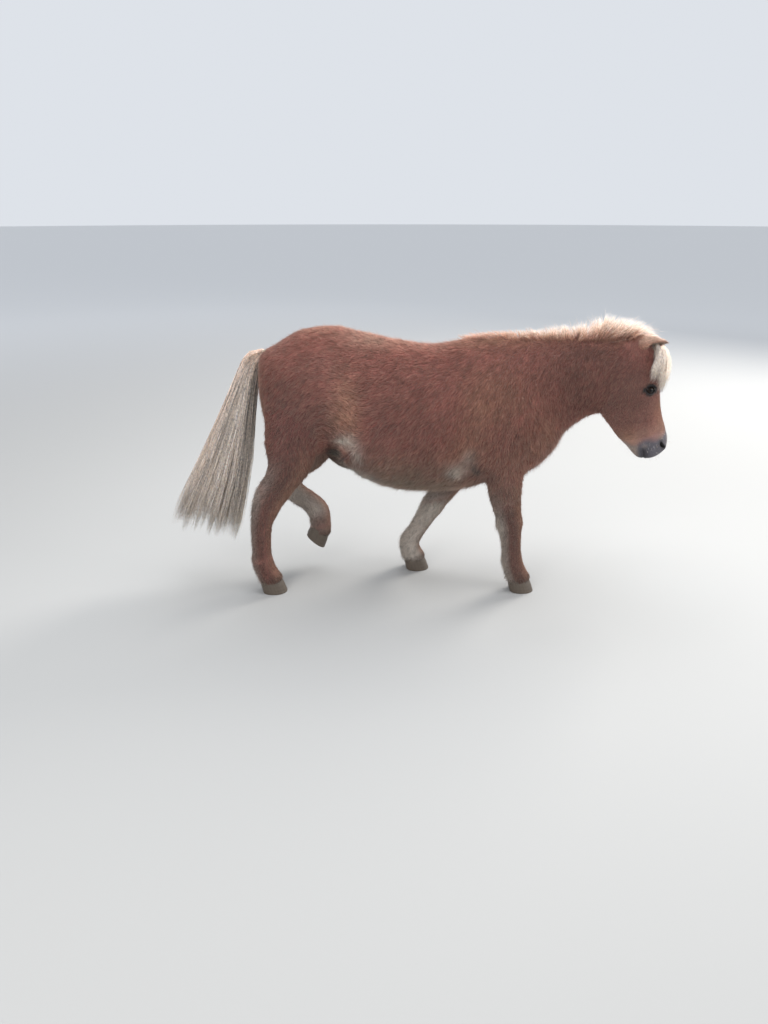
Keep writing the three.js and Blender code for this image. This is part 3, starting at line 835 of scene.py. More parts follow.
FLOW_REACH = 85
TRUNK_FLOWS = [
    [-430, 800, -0.25, 0, -0.97], [-430, 650, 0.0, 0, -1], [-330, 930, -0.85, 0.3, -0.35],
    [-260, 760, -0.75, 0, -0.65], [-300, 620, -0.35, 0, -0.94], [-180, 960, -1, 0.3, -0.15],
    [-170, 830, -0.9, 0, 0.15], [-140, 700, -0.45, 0, 0.85], [-160, 600, -0.1, 0, 0.9],
    [-90, 560, 0.2, 0, -0.6], [-30, 930, -1, 0.3, -0.2], [0, 780, -0.75, 0, -0.5],
    [0, 620, -0.7, 0, -0.75], [0, 450, -0.85, -0.2, -0.35], [180, 920, -1, 0.3, -0.25],
    [180, 740, -0.7, 0, -0.7], [180, 560, -0.6, 0, -0.8], [180, 420, -0.9, -0.2, -0.3],
    [340, 900, -0.7, 0.2, -0.6], [370, 740, -0.45, 0, -0.9], [370, 560, -0.3, 0, -0.95],
    [310, 490, -0.7, 0, -0.4], [480, 880, -0.5, 0.1, -0.8], [500, 700, -0.2, 0, -1],
    [520, 560, 0.05, 0, -1], [620, 860, -0.5, 0.1, -0.8], [640, 720, -0.3, 0, -0.95],
    [760, 860, -0.5, 0.1, -0.85], [780, 740, -0.45, 0, -0.85], [880, 860, -0.4, 0, -0.9],
]

# The same on the head: down, out, then along the face, out and away from the middle

HEAD_REACH = 42
HEAD_FLOWS = [
    [0, -40, 0.2, -0.2, 0.9], [60, 0, 0.9, 0, 0.35], [60, -100, 0.75, -0.6, 0], [60, -170, 0.5, -0.85, 0],
    [150, 0, 1, 0, 0.1], [150, -110, 0.75, -0.65, 0], [170, -200, 0.55, -0.8, 0], [260, 0, 1, 0, 0.15],
    [260, -90, 0.9, -0.4, 0], [270, -190, 0.8, -0.6, 0], [350, 0, 0.9, 0, 0.4], [350, -80, 0.8, -0.6, 0],
    [350, -150, 0.8, -0.6, 0], [420, -30, 0.6, -0.2, 0.5], [420, -110, 0.8, -0.4, 0],
]


def flow(across, flows, reach):
    """The lie at places given by two numbers: the mean of the flows, weighted by bell curves."""
    flows = np.array(flows, float)
    total = np.zeros((len(across), 3))
    for row in flows:
        away = ((across - row[:2] * MM) ** 2).sum(axis=1) / (reach * MM) ** 2
        total += (np.exp(-away) + 1e-6 / (1 + away))[:, None] * row[2:]
    return unit(total)


def lie_of_coat(points, shares):
    """The way the hair runs at each point, mixed from the flows of its regions."""
    side = np.where(points[:, 1] < 0, -1, 1)[:, None]
    way = flow(points[:, [0, 2]] + [LOIN, 0], TRUNK_FLOWS, FLOW_REACH)
    total = shares[:, :1] * way * np.where([False, True, False], side, 1)
    way = flow(head.places(points)[:, :2], HEAD_FLOWS, HEAD_REACH)
    way = way[:, :1] * head.along + way[:, 1:2] * head.out + way[:, 2:] * side * LEFTWARD
    total += shares[:, 1:2] * way
    for number, limb in LIMBS:
        mine = shares[:, number] > 0.01
        place, out, _, _ = limb.places(points[mine])
        back = limb.mix(limb.out, place) * np.clip(-out / (30 * MM), -0.2, 1)[:, None]
        total[mine] += shares[mine, number:number + 1] * unit(limb.mix(limb.tangent, place) - 0.28 * back)
    for side in SIDES:
        middle, _, _, gaze = eye_axes(side)
        away = points - middle
        pull = 0.7 * hump(np.linalg.norm(away, axis=1), 18 * MM, 15 * MM)[:, None]
        total = total * (1 - pull) + pull * unit(away - gaze * (away @ gaze)[:, None])
    return unit(total)


def columns(place, rows, scale=MM):
    """A table's three columns at places along it, of which its first column is a number of scales."""
    rows = np.array(rows, float)
    return np.stack([np.interp(place, rows[:, 0] * scale, rows[:, k]) for k in (1, 2, 3)], axis=1)


def coat_sizes(points, normals, shares):
    """Length and width of each tuft in metres, and its lift off the skin in radians."""
    sizes = shares[:, :1] * columns(points[:, 0] + LOIN, TRUNK_COAT)
    down, out, _ = head.places(points).T
    on_cheek = ramp(-out, 90 * MM, 180 * MM) * ramp(down, 360 * MM, 280 * MM)
    sizes += shares[:, 1:2] * columns(down, HEAD_COAT) * (1 + np.outer(on_cheek, [0.7, 0.25, 0.25]))
    for number, limb in LIMBS[:-1]:
        mine = shares[:, number] > 0.01
        place, front, _, _ = limb.places(points[mine])
        share = place / limb.ends[1]
        fringe = ramp(-front, 0, 28 * MM) * ramp(share, 0.35, 0.50)
        here = columns(share, LEG_COAT, 1) * (1 + fringe[:, None] * [0.85, 0.1, 0.5])
        sizes[mine] += shares[mine, number:number + 1] * here
    sizes += shares[:, SHEATH_NUMBER:] * SHEATH_COAT
    under = np.clip(-normals[:, 2], 0, 1) ** 2
    front = np.clip(normals[:, 0] - 0.2, 0, 1)
    sizes = sizes * (1 + np.outer(shares[:, 0] * (under + front), [0.30, 0.05, 0.45]))
    return sizes * [MM, MM, math.radians(1)]


# Colours of the hair, as seen in soft daylight

def srgb(red, green, blue):
    """A colour given from 0 to 255 as a screen shows it, in linear light."""
    shown = np.array([red, green, blue]) / 255
    return np.where(shown < 0.04045, shown / 12.92, ((shown + 0.055) / 1.055) ** 2.4)


PALETTE = {name: srgb(*shown) for name, shown in {
    "chestnut": (173, 107, 97), "dark chestnut": (112, 71, 65), "red": (176, 107, 94),
    "golden": (198, 146, 119), "fawn": (196, 170, 150), "pale": (226, 216, 204),
    "ash": (146, 134, 116), "cream": (252, 234, 214), "dark tail": (58, 51, 51),
    "slate": (70, 68, 67), "umber": (82, 62, 52),
    "grey skin": (94, 98, 107), "dark skin": (34, 30, 31),
}.items()}

# Markings and painted light and shade, laid one over the other: colour, then middle (ahead, beside, up),
# reach the same way, strength

MARKINGS_AND_PAINTED_LIGHT = [
    ("dark chestnut", [
        # The first two rows are painted shade: darker at the middle of the hindquarter, and in the flank in
        # front of the thigh.
        [-330, 150, 620, 110, 150, 150, 0.60], [-188, 170, 664, 54, 80, 70, 0.75],
        [660, 80, 800, 150, 90, 100, 0.50], [730, 60, 905, 150, 80, 50, 0.55],
        [850, 80, 830, 70, 80, 90, 0.40], [700, 60, 730, 120, 80, 60, 0.35],
        [60, 190, 720, 170, 90, 90, 0.20], [470, 150, 590, 60, 70, 80, 0.45],
    ]),
    # Partly the coat's golden tint, partly painted light: golden along the top line, where light falls from
    # above, and on the rounds of the shoulder, elbow, barrel and flank.
    ("golden", [
        [-200, 0, 985, 260, 90, 30, 0.40], [110, 0, 935, 190, 110, 30, 0.40],
        [360, 0, 955, 170, 90, 36, 0.5], [480, 150, 520, 110, 80, 90, 0.35],
        [330, 170, 740, 60, 60, 150, 0.45], [420, 150, 765, 90, 80, 100, 0.40],
        [560, 90, 620, 60, 90, 80, 0.50], [-120, 190, 720, 44, 80, 120, 0.70],
        [290, 190, 570, 70, 90, 80, 0.50], [40, 190, 520, 170, 90, 60, 0.35],
    ]),
    # Partly the belly hair's own ash colour, partly painted shade: greyer and darker low on the barrel and
    # under it.
    ("ash", [[40, 190, 500, 270, 90, 60, 0.30], [70, 150, 424, 300, 120, 72, 0.88]]),
    # Painted highlight: paler on the top of the loin and golden on the top of the withers, where light falls
    # from above.
    ("fawn", [[-40, 70, 945, 90, 70, 34, 0.40]]),
    ("golden", [[420, 50, 945, 170, 60, 22, 0.70]]),
    # Painted shade: darker brown on the hocks.
    ("umber", [[-470, 108, 300, 60, 60, 90, 0.25]]),
    ("fawn", [[120, 0, 395, 330, 190, 44, 0.85]]),
    ("pale", [[266, 150, 502, 38, 60, 32, 0.90], [300, 150, 548, 26, 60, 34, 0.45]]),
    # Painted shade: dark in the hollow between the barrel and the foreleg.
    ("slate", [[330, 150, 506, 20, 70, 34, 0.80]]),
    ("pale", [
        [-128, 150, 602, 40, 90, 28, 0.95], [-92, 150, 560, 26, 90, 44, 0.60],
        [-110, 60, 476, 58, 90, 30, 1.30], [-60, 50, 444, 54, 90, 24, 1.10],
    ]),
    ("slate", [[-20, 110, 445, 36, 50, 24, 0.40]]),
    # Painted highlight: golden along the top of the crest.
    ("golden", [[640, 0, 965, 210, 60, 30, 0.60], [840, 0, 960, 90, 70, 34, 0.50]]),
    ("pale", [[560, 0, 560, 110, 60, 50, 0.65], [650, 0, 600, 90, 36, 50, 0.55]]),
    ("slate", [[-172, 60, 536, 34, 80, 40, 1.10]]),
    ("golden", [[-435, 60, 700, 30, 90, 160, 0.45]]),
]


def blend(colours, name, share):
    """Colours mixed with one of the palette by a share at each point."""
    share = np.clip(np.broadcast_to(share, len(colours)), 0, 1)[:, None]
    return colours * (1 - share) + PALETTE[name] * share


def layered(colours, *layers):
    """Colours with others laid over them in turn: each a colour of the palette and its share."""
    for name, share in layers:
        colours = blend(colours, name, share)
    return colours


def plain(name, count):
    """One colour of the palette for each of a number of points."""
    return np.tile(PALETTE[name], (count, 1))


def coat_colours(points, shares):
    """The hair's colour at each point of the skin, with painted light and shade laid in among its markings.
    """
    colours = plain("chestnut", len(points))
    patchy = 1 + 0.30 * waves(points, 0.05, 21) + 0.25 * waves(points, 0.02, 22)
    places = folded(points + [LOIN, 0, 0])
    for name, rows in MARKINGS_AND_PAINTED_LIGHT:
        for row in rows:
            colours = blend(colours, name, row[6] * patchy * bell(places, row[:3], row[3:6]))
    colours = blend(colours, "slate", 0.95 * shares[:, SHEATH_NUMBER])
    colours = colours * (1 + 0.09 * waves(points, 0.16, 23) + 0.07 * waves(points, 0.045, 24))[:, None]
    for number, limb in LIMBS[:-1]:
        colours = leg_colours(colours, points, shares[:, number], limb, number in FORELEGS)
    return head_colours(colours, points, shares)


def leg_colours(colours, points, mine, limb, fore):
    """A leg's colours: brown, deeper low down as painted shade, a painted golden highlight in front, pale
    behind and inside, dark at the coronet.
    """
    place, out, left, _ = limb.places(points)
    share = place / limb.ends[1]
    inner = ramp(-left * np.sign(limb.path[-1, 1]), 3 * MM, 35 * MM)
    if not fore:
        inner = inner * np.clip((0.90 - share) / 0.12, 0.25, 1)
    back = ramp(-out, 8 * MM, 42 * MM)
    low = ramp(share, 0.10, 0.36)
    edge = (0.95 if fore else 0.45) * back + (0.9 if fore else 0.75) * inner
    return layered(
        colours,
        # Darker brown low on the legs: partly their own colour, partly painted shade.
        ("umber", mine * low * (0.74 if fore else 0.66)),
        # Painted highlight: a golden rim down the front of the legs.
        ("golden", mine * low * 0.5 * ramp(out, 14 * MM, 40 * MM)),
        ("pale", mine * np.clip(edge, 0, 0.85) * ramp(share, 0.22, 0.47)),
        ("umber", mine * 0.7 * ramp(share, 0.94, 0.98)),
    )


def head_colours(colours, points, shares):
    """The head's colours: grey muzzle, dark lips, nostrils and lids, dark hair round the eye, with painted
    shade at the lips and round the eye and a painted highlight down the face.
    """
    down, out, _ = head.places(points).T
    mine = np.clip(shares[:, 1] * 1.5, 0, 1)
    start = 328 * MM - 0.16 * (out + 60 * MM) + 14 * MM * waves(points, 0.05, 3)
    bare = ramp(down - start, 0, 46 * MM)
    mealy = bare * np.clip(waves(points, 0.03, 27), 0, 1) * ramp(down, 400 * MM, 370 * MM)
    colours = layered(
        colours,
        ("dark chestnut", mine * 0.5 * ramp(down, 40 * MM, 100 * MM) * hump(out, -120 * MM, 80 * MM)),
        ("fawn", mine * 0.10 * ramp(down, 60 * MM, 140 * MM)),
        # Painted highlight: golden down the front line of the face.
        ("golden", mine * 0.5 * hump(out, -14 * MM, 30 * MM) * ramp(down, 190 * MM, 240 * MM)),
        ("golden", mine * 0.6 * hump(out, -150 * MM, 34 * MM) * hump(down, 340 * MM, 44 * MM)),
        ("fawn", mine * 0.22 * hump(down, start, 22 * MM)),
        ("grey skin", mine * 0.92 * bare * bare * (3 - 2 * bare)),
        ("fawn", mine * 0.5 * ramp(-out, 112 * MM, 126 * MM) * bare),
        ("fawn", mine * 0.30 * mealy),
        # Dark lip skin along the mouth line, partly its own colour, partly painted shadow in the groove
        # between the lips.
        ("dark skin", mine * 0.75 * hump(out, MOUTH["out"] * MM, 16 * MM) * ramp(down, 380 * MM, 400 * MM)),
    )
    for side in SIDES:
        colours = blend(colours, "dark skin", np.exp(-np.maximum(nostril_room(points, side), 0) / (4 * MM)))
        close = near_eye(points, side, 46 * MM)
        edge = np.full(len(points), 1.0)
        edge[close] = eye_opening(points[close], side)
        # Darker hair round the eye and the dark skin of the lids: partly their own colour, partly painted
        # shade of the brow and lids.
        colours = blend(colours, "dark chestnut", 0.75 * hump(edge, 0, 17 * MM) * close)
        lid = np.clip(1.3 - np.maximum(edge - 3 * MM, 0) / (7 * MM), 0, 1)
        colours = blend(colours, "dark skin", lid * close)
    return colours


# Locks of hair: thin closed solids of three sides, from a root to one point

HAIR_PATCH = 0.003


def lock_mesh(name, paths, widths, ups, roots, colours, strands, thick=0.55, tips=None, fade=0.8):
    """One mesh of many locks.

    Each lock is a path of points; at every point but the last stand a left, a right and a ridge
    corner, the ridge on the side of its up direction. The patch of UV map that a lock covers is
    HAIR_PATCH across, at its root's place.
    """
    count, steps, _ = paths.shape
    tangents = unit(np.gradient(paths, axis=1))
    sides = unit(np.cross(tangents, ups[:, None]))
    ridges = unit(np.cross(sides, tangents))[:, :-1]
    rings, sides = paths[:, :-1], sides[:, :-1]
    half = widths[:, :, None] / 2
    corners = [rings - sides * half, rings + sides * half, rings + ridges * half * 2 * thick]
    corners = np.stack(corners, axis=2)
    points = np.concatenate([corners.reshape(count, -1, 3), paths[:, -1:]], axis=1)
    each = points.shape[1]
    loops, sizes = lock_faces(steps)
    numbers = (loops[None] + (np.arange(count) * each)[:, None]).ravel()
    data = new_mesh(name, points.reshape(-1, 3), numbers, np.tile(sizes, count))
    along = np.concatenate([np.repeat(np.linspace(0, 1, steps)[:-1], 3), [1]])
    across = np.concatenate([np.tile([-0.5, 0.5, 0], steps - 1), [0]])
    patch = np.stack([across, along - 0.5], axis=1) * HAIR_PATCH
    unwrap(data, "OFBake", (roots[:, None] + patch[loops][None]).reshape(-1, 2))
    tips = colours if tips is None else tips
    share = along[None, :, None] ** fade
    carry(data, "coat colour", (colours[:, None] * (1 - share) + tips[:, None] * share).reshape(-1, 3))
    strand = np.empty((count, each, 3))
    strand[:, :, 0] = along
    strand[:, :, 1:] = strands[:, None]
    carry(data, "strand", strand.reshape(-1, 3))
    return data


def lock_faces(steps):
    """Corner numbers and sizes of one lock's faces: its sides ring by ring, its tip and its root."""
    loops, sizes = [], []
    for ring in range(steps - 2):
        for i in range(3):
            a, b = 3 * ring + i, 3 * ring + (i + 1) % 3
            loops += [a, a + 3, b + 3, b]
            sizes += [4]
    last, tip = 3 * (steps - 2), 3 * (steps - 1)
    for i in range(3):
        loops += [last + i, tip, last + (i + 1) % 3]
        sizes += [3]
    return np.array(loops + [0, 1, 2]), np.array(sizes + [3])


def mixed(values, corners, shares):
    """Values of the points of a mesh, mixed at places inside its triangles."""
    return (values[corners] * shares[..., None]).sum(axis=1)


class Scatter:
    """Places spread evenly over chosen triangles of a hide, by weight."""

    def __init__(self, hide, mine, weights, count, dice):
        a, b, c = (hide.points[hide.triangles[mine, k]] for k in range(3))
        reach = np.cumsum(np.linalg.norm(np.cross(b - a, c - a), axis=1) * weights)
        steps = (np.arange(count) + dice.random(count)) / count * reach[-1]
        chosen = mine[np.searchsorted(reach, steps).clip(0, len(mine) - 1)]
        u, v = dice.random(count), dice.random(count)
        over = u + v > 1
        u[over], v[over] = 1 - u[over], 1 - v[over]
        self.corners = hide.triangles[chosen]
        self.loops = hide.triangle_loops[chosen]
        self.shares = np.stack([1 - u - v, u, v], axis=1)

    def at(self, values):
        """Values of the hide's points, mixed at the places."""
        return mixed(values, self.corners, self.shares)


def clumps(points, size, seed):
    """The nearest clump's middle for each point, and four random numbers of that clump.

    Each cube of a grid holds one middle at a random place; a point looks in its own cube and the
    26 round it.
    """
    cell = np.floor(points / size).astype(np.int64)
    best = np.full(len(points), np.inf)
    middles = np.zeros_like(points)
    numbers = np.zeros((len(points), 4))
    for offset in np.ndindex(3, 3, 3):
        here = cell + np.array(offset) - 1
        dice = scrambled(here, seed)
        middle = (here + dice[:, :3]) * size
        away = ((points - middle) ** 2).sum(axis=1)
        closer = away < best
        best[closer] = away[closer]
        middles[closer] = middle[closer]
        numbers[closer] = dice[closer, 3:7]
    return middles, numbers


def scrambled(cells, seed):
    """Seven random numbers from 0 to 1 for each cell, the same every time."""
    x, y, z = (cells.astype(np.uint64).T + np.uint64(1 << 20))
    mixture = x * np.uint64(73856093) ^ y * np.uint64(19349663) ^ z * np.uint64(83492791)
    numbers = []
    for k in range(7):
        mixture = (mixture ^ (mixture >> np.uint64(13))) * np.uint64(1274126177 + 2 * (seed * 7 + k))
        mixture = mixture ^ (mixture >> np.uint64(16))
        numbers.append((mixture & np.uint64(0xFFFFF)).astype(float) / 0xFFFFF)
    return np.stack(numbers, axis=1)


def turned(ways, normals, angles):
    """Directions turned round their normals."""
    c, s = np.cos(angles)[:, None], np.sin(angles)[:, None]
    return ways * c + np.cross(normals, ways) * s


# The pieces of the coat: how many tufts, the size of their clumps, and where each begins and ends

COATS = {
    "coat_of_the_head": (38000, 7),
    "coat_of_the_muzzle": (10000, 5),
    "coat_of_the_neck": (33000, 13),
    "coat_of_the_shoulders": (34000, 15),
    "coat_of_the_right_barrel": (24000, 17),
    "coat_of_the_left_barrel": (24000, 17),
    "coat_of_the_right_hindquarter": (25000, 16),
    "coat_of_the_left_hindquarter": (25000, 16),
    "coat_of_the_forelegs": (25000, 10),
    "coat_of_the_hind_legs": (28000, 11),
}
EAR_TUFTS = 4000
EAR_CLUMP = 8
STRAY_SHARE = 0.12
STEEPEST = math.radians(34)
MUZZLE_START = 345 * MM
NECK_START = 545 * MM
SHOULDER_START = 255 * MM
BARREL_START = -125 * MM


def coat_names(middles, shares):
    """The name of the coat piece that each triangle of the skin belongs to: the last that fits."""
    ahead = middles[:, 0] + LOIN
    region = shares.argmax(axis=1)
    down = head.places(middles)[:, 0]
    side = np.where(middles[:, 1] < 0, "right", "left")
    names = np.char.add(np.char.add("coat_of_the_", side), "_barrel").astype("<U40")
    for chosen, name in (
        ((ahead < BARREL_START) & (side == "right"), "right_hindquarter"),
        ((ahead < BARREL_START) & (side == "left"), "left_hindquarter"),
        (ahead > SHOULDER_START, "shoulders"),
        (ahead > NECK_START, "neck"),
        (np.isin(region, FORELEGS), "forelegs"),
        (np.isin(region, HIND_LEGS), "hind_legs"),
        (region == 1, "head"),
        ((region == 1) & (down > MUZZLE_START), "muzzle"),
    ):
        names[chosen] = "coat_of_the_" + name
    return names


def hairless(points):
    """Where nothing grows: inside the hooves, between the lids, in the nostrils and between the lips."""
    length, _, height = HOOF_SIZE
    bare = np.zeros(len(points), bool)
    for x, y, z, toe in HOOVES.values():
        away = points - np.array([x * MM - LOIN, y * MM, z * MM])
        up = away @ np.array([math.sin(math.radians(toe)), 0, math.cos(math.radians(toe))])
        bare |= (up < height - 2 * MM) & (np.linalg.norm(away, axis=1) < length)
    for side in SIDES:
        close = near_eye(points, side, 34 * MM)
        bare[close] |= eye_opening(points[close], side) < 3.6 * MM
        bare |= nostril_room(points, side) < 2.2 * MM
    down, out, _ = head.places(points).T
    return bare | ((down > 386 * MM) & (np.abs(out - MOUTH["out"] * MM) < 4 * MM))


class Hide:
    """A part of the skin, with all that its hair needs at each of its points."""

    def read(self, data):
        """Takes a mesh's arrays, and the triangles that its faces are made of."""
        self.points, self.normals, self.corners, self.starts, self.face_sizes = read_mesh(data)
        data.calc_loop_triangles()
        loops = np.empty(len(data.loop_triangles) * 3, int)
        data.loop_triangles.foreach_get("loops", loops)
        self.triangle_loops = loops.reshape(-1, 3)
        self.triangles = self.corners[self.triangle_loops]


class BodyHide(Hide):
    """The skin of all but the ears."""

    def __init__(self):
        self.read(skin_mesh())
        shares = region_shares(self.points)
        self.lie = lie_of_coat(self.points, shares)
        self.hair = coat_sizes(self.points, self.normals, shares)
        self.colours = coat_colours(self.points, shares)
        self.chart = skin_chart(self.points, self.corners, self.starts, self.face_sizes, shares)
        self.grows = ~hairless(self.points)[self.triangles].any(axis=1)
        middles = self.points[self.triangles].mean(axis=1)
        self.names = coat_names(middles, shares[self.triangles[:, 0]])


class EarHide(Hide):
    """The skin of an ear: tufts lie along its back, and stand across its opening inside."""

    def __init__(self, side):
        points = ear_points(side)
        around = points.shape[1]
        self.read(ring_mesh("ear", points)[0])
        root, tip, opening, _ = ear_axes(side)
        along = np.repeat(np.linspace(0, 1, EAR_RINGS), around)
        loop = np.tile(np.arange(around), EAR_RINGS)
        loop = loop if side > 0 else around - 1 - loop
        half = EAR_HALF
        inside = (loop > half) & (loop < 2 * half + 1)
        edge = np.minimum(np.abs(loop - half), np.minimum(loop + 1, np.abs(loop - 2 * half - 1)))
        rim = hump(edge, 0, 1.6)
        across = inside * 0.9 + rim * 0.3
        self.lie = unit(unit(tip - root) + across[:, None] * opening)
        length = np.where(inside, 15, 15 - 6 * along) + 4 * rim
        lift = np.where(inside, 30, 15) + 10 * rim
        self.hair = np.stack([length * MM, np.full(len(along), 1.4 * MM), np.radians(lift)], axis=1)
        self.colours = layered(
            plain("red", len(along)),
            ("golden", 0.50 + 0.3 * rim),
            # Cream on the upward-facing side as a painted highlight, and paler towards the tip.
            ("cream", 0.45 * np.clip(self.normals[:, 2] - 0.1, 0, 1) + 0.15 * along),
            ("dark chestnut", 0.7 * rim * along ** 3),
            ("fawn", 0.75 * inside),
            # Painted shade in the hollow of the cup, deepest at the root and away from the rim.
            ("dark chestnut", 0.6 * inside * (1 - rim) * (1 - along)),
        )
        self.chart = chart(f"ear_{SIDES[side]}", along, (2 * loop / around - 1) * TURN_ROOM)[self.corners]
        self.grows = (along > 0.08)[self.triangles].all(axis=1)
        self.names = np.full(len(self.triangles), f"coat_of_the_{SIDES[side]}_ear")


def across_normals(ways, normals):
    """Directions without the part that runs along their normals."""
    return ways - normals * (ways * normals).sum(axis=1)[:, None]


def tuft_mesh(name, hide, count, clump_size, seed):
    """One piece of the coat: spikes that leave the skin at a low angle and follow its lie.

    A tuft's tip lies its length along the lie, raised by the sine of its lift, and drawn towards
    the middle of its clump. Some are stray: longer, thinner, paler and standing out more.
    """
    dice = np.random.default_rng(seed)
    mine = np.flatnonzero((hide.names == name) & hide.grows)
    size = hide.hair[hide.triangles[mine, 0]]
    weights = (size[:, 0] * size[:, 1] / 1e-5) ** -0.7
    spots = Scatter(hide, mine, weights, count, dice)
    root = spots.at(hide.points)
    normal = unit(spots.at(hide.normals))
    length, width, lift = spots.at(hide.hair).T
    middle, clump = clumps(root, clump_size * MM, seed)
    stray = dice.random(count) < STRAY_SHARE
    angle = 0.20 * waves(root, 0.14, 11) + 0.14 * waves(root, 0.04, 12)
    angle += 0.22 * (clump[:, 0] - 0.5) + (0.12 + 0.15 * stray) * dice.normal(size=count)
    way = turned(unit(across_normals(spots.at(hide.lie), normal)), normal, angle)
    length = length * (0.85 + 0.25 * clump[:, 1]) * dice.uniform(0.7, 1.2, count) * (1 + 0.15 * stray)
    width = width * dice.uniform(0.7, 1.25, count) * (1 - 0.4 * stray)
    lift = lift * (0.75 + 0.5 * clump[:, 2]) * dice.uniform(0.5, 1.5, count) * (1 + 1.3 * stray)
    lift = np.minimum(lift, STEEPEST)
    pull = across_normals(middle - root - way * (0.7 * length)[:, None], normal)
    far = np.maximum(np.linalg.norm(pull, axis=1), 1e-6)
    pull *= np.minimum(0.62, 0.26 * length / far)[:, None]
    reach, rise = (length * np.cos(lift))[:, None], (length * np.sin(lift))[:, None]
    sink = np.minimum(0.6 * MM, 0.2 * length)[:, None]
    paths = np.stack([root - normal * sink, root + way * reach + normal * rise + pull], axis=1)
    colours = blend(spots.at(hide.colours), "fawn", 0.35 * stray)
    uv = mixed(hide.chart, spots.loops, spots.shares)
    strands = np.stack([dice.random(count), clump[:, 3]], axis=1)
    return lock_mesh(name, paths, width[:, None], normal, uv, colours, strands)


def strand_paths(roots, headings, bends, lengths, steps, wobble, seed):
    """Long hairs as paths: each step runs along the heading, mixed more with the bend towards the tip."""
    count = len(roots)
    share = np.linspace(0, 1, steps - 1)[None, :, None]
    ways = headings[:, None] * (1 - share) + bends[:, None] * share
    sway = np.stack([waves(roots + 3.1 * k, 0.03, seed + k) for k in range(3)], axis=1)
    turn = np.random.default_rng(seed).normal(size=(count, 3)) * 0.5 + sway
    ways = unit(ways + wobble * turn[:, None] * np.sin(share * 4 + 1))
    hops = ways * (lengths / (steps - 1))[:, None, None]
    return np.concatenate([roots[:, None], roots[:, None] + np.cumsum(hops, axis=1)], axis=1)


def taper(steps, root, belly):
    """Shares of a strand's width from root to tip."""
    place_on = np.linspace(0, 1, steps)[:-1]
    return root + (belly - root) * np.sin(np.pi * np.minimum(place_on * 1.3 + 0.15, 1))


def gathered(paths, middles, roots, strength):
    """Strands drawn together at their tips, each towards the line above its clump's middle."""
    steps = paths.shape[1]
    share = np.linspace(0, 1, steps)[None, :, None] ** 1.2
    return paths + (middles - roots)[:, None] * share * strength


# The mane: ahead, height of the tips, half width of the growth, lean forward of upright in degrees

MANE = [
    [290, 962, 14, -46], [420, 974, 17, -36], [520, 979, 18, -26], [600, 985, 19, -14], [672, 999, 21, -4],
    [714, 1011, 23, 3], [744, 1026, 24, 7], [780, 1036, 26, 12], [848, 1014, 28, 30], [878, 1001, 29, 44],
    [914, 984, 30, 60], [950, 968, 32, 78],
]
MANE_COUNT = 4600
MANE_STEPS = 6
MANE_START = 290
MANE_RUN = 650
MANE_SHORTENS = (540, 380)
MANE_FALLS = (860, 920)
MANE_STRAYS = 0.16
SHORTEST_MANE = 18 * MM
LONGEST_MANE = 105 * MM
CREST = 936 * MM


def mane_mesh():
    """Hair along the crest: upright over the neck, leaning forward at the poll and back at the withers.

    Towards the withers it is ruffled and golden, and at the poll it falls forward.
    """
    dice = np.random.default_rng(31)
    n = MANE_COUNT
    ahead = np.sort(MANE_START + MANE_RUN * dice.random(n) ** 0.80)
    top, half, lean = columns(ahead, MANE, 1).T
    beside = np.clip(dice.normal(size=n) * 0.55, -1.4, 1.4)
    start = np.stack([ahead * MM - LOIN, beside * half * MM, np.full(n, CREST)], axis=1)
    roots, normals = to_surface(start, 3)
    middle, clump = clumps(roots, 12 * MM, 5)
    stray = dice.random(n) < MANE_STRAYS
    short = ramp(ahead, *MANE_SHORTENS)
    spread = 6 + 12 * stray + 12 * short
    lean = np.radians(lean + (26 + 20 * short) * (clump[:, 0] - 0.5) + spread * dice.normal(size=n))
    fan = 0.30 * beside + (0.40 + 0.3 * short) * (clump[:, 1] - 0.5) + 0.12 * dice.normal(size=n)
    headings = unit(np.stack([np.sin(lean), fan, np.cos(lean)], axis=1))
    fall = ramp(ahead, *MANE_FALLS)
    bends = np.stack([0.35 * np.sin(lean) + 0.10, 1.1 * fan, -0.12 - 0.75 * fall], axis=1)
    bends = unit(headings + bends)
    height = np.maximum(top * MM - roots[:, 2], SHORTEST_MANE)
    lengths = np.minimum(height / np.maximum(np.cos(lean), 0.45), LONGEST_MANE) * (1 - 0.35 * fall)
    lengths *= (0.70 + 0.30 * clump[:, 2]) * dice.uniform(0.58, 1.08, n) * (1 + 0.18 * stray)
    paths = strand_paths(roots - normals * MM, headings, bends, lengths, MANE_STEPS, 0.07, 41)
    paths = gathered(paths, middle * [1, 1, 0] + roots * [0, 0, 1], roots, 0.45)
    widths = (dice.uniform(0.8, 1.7, n) * (1 - 0.35 * stray))[:, None] * MM * taper(MANE_STEPS, 0.75, 1)
    tips = layered(
        plain("cream", n),
        ("golden", 0.10 + 0.35 * dice.random(n) ** 2),
        ("golden", 0.85 * ramp(ahead, 640, 440)),
        ("chestnut", 0.25 * short),
    )
    colours = layered(tips, ("golden", 0.9), ("red", 0.60 + 0.25 * short))
    uv = chart("trunk", *round_form(trunk, roots))
    ups = unit(np.cross(headings, np.array([0.3, 1, 0.1])))
    strands = np.stack([dice.random(n), clump[:, 3]], axis=1)
    return lock_mesh("mane_hair", paths, widths, ups, uv, colours, strands, tips=tips, fade=2.1)


# The forelock: how thick it lies on the face. Rows: down the face, thickness

FORELOCK = [[-20, 6], [10, 20], [40, 32], [80, 38], [120, 36], [150, 28], [180, 18], [212, 8]]
FORELOCK_COUNT = 2500
FORELOCK_STEPS = 6
FORELOCK_WISPS = 23
FORELOCK_STRAYS = 0.18
FORELOCK_ROOTS = (-18, 30)
FORELOCK_LONGEST = 210
FORELOCK_SIDES_SHORTER = 52
FORELOCK_SPAN = (24, 62)


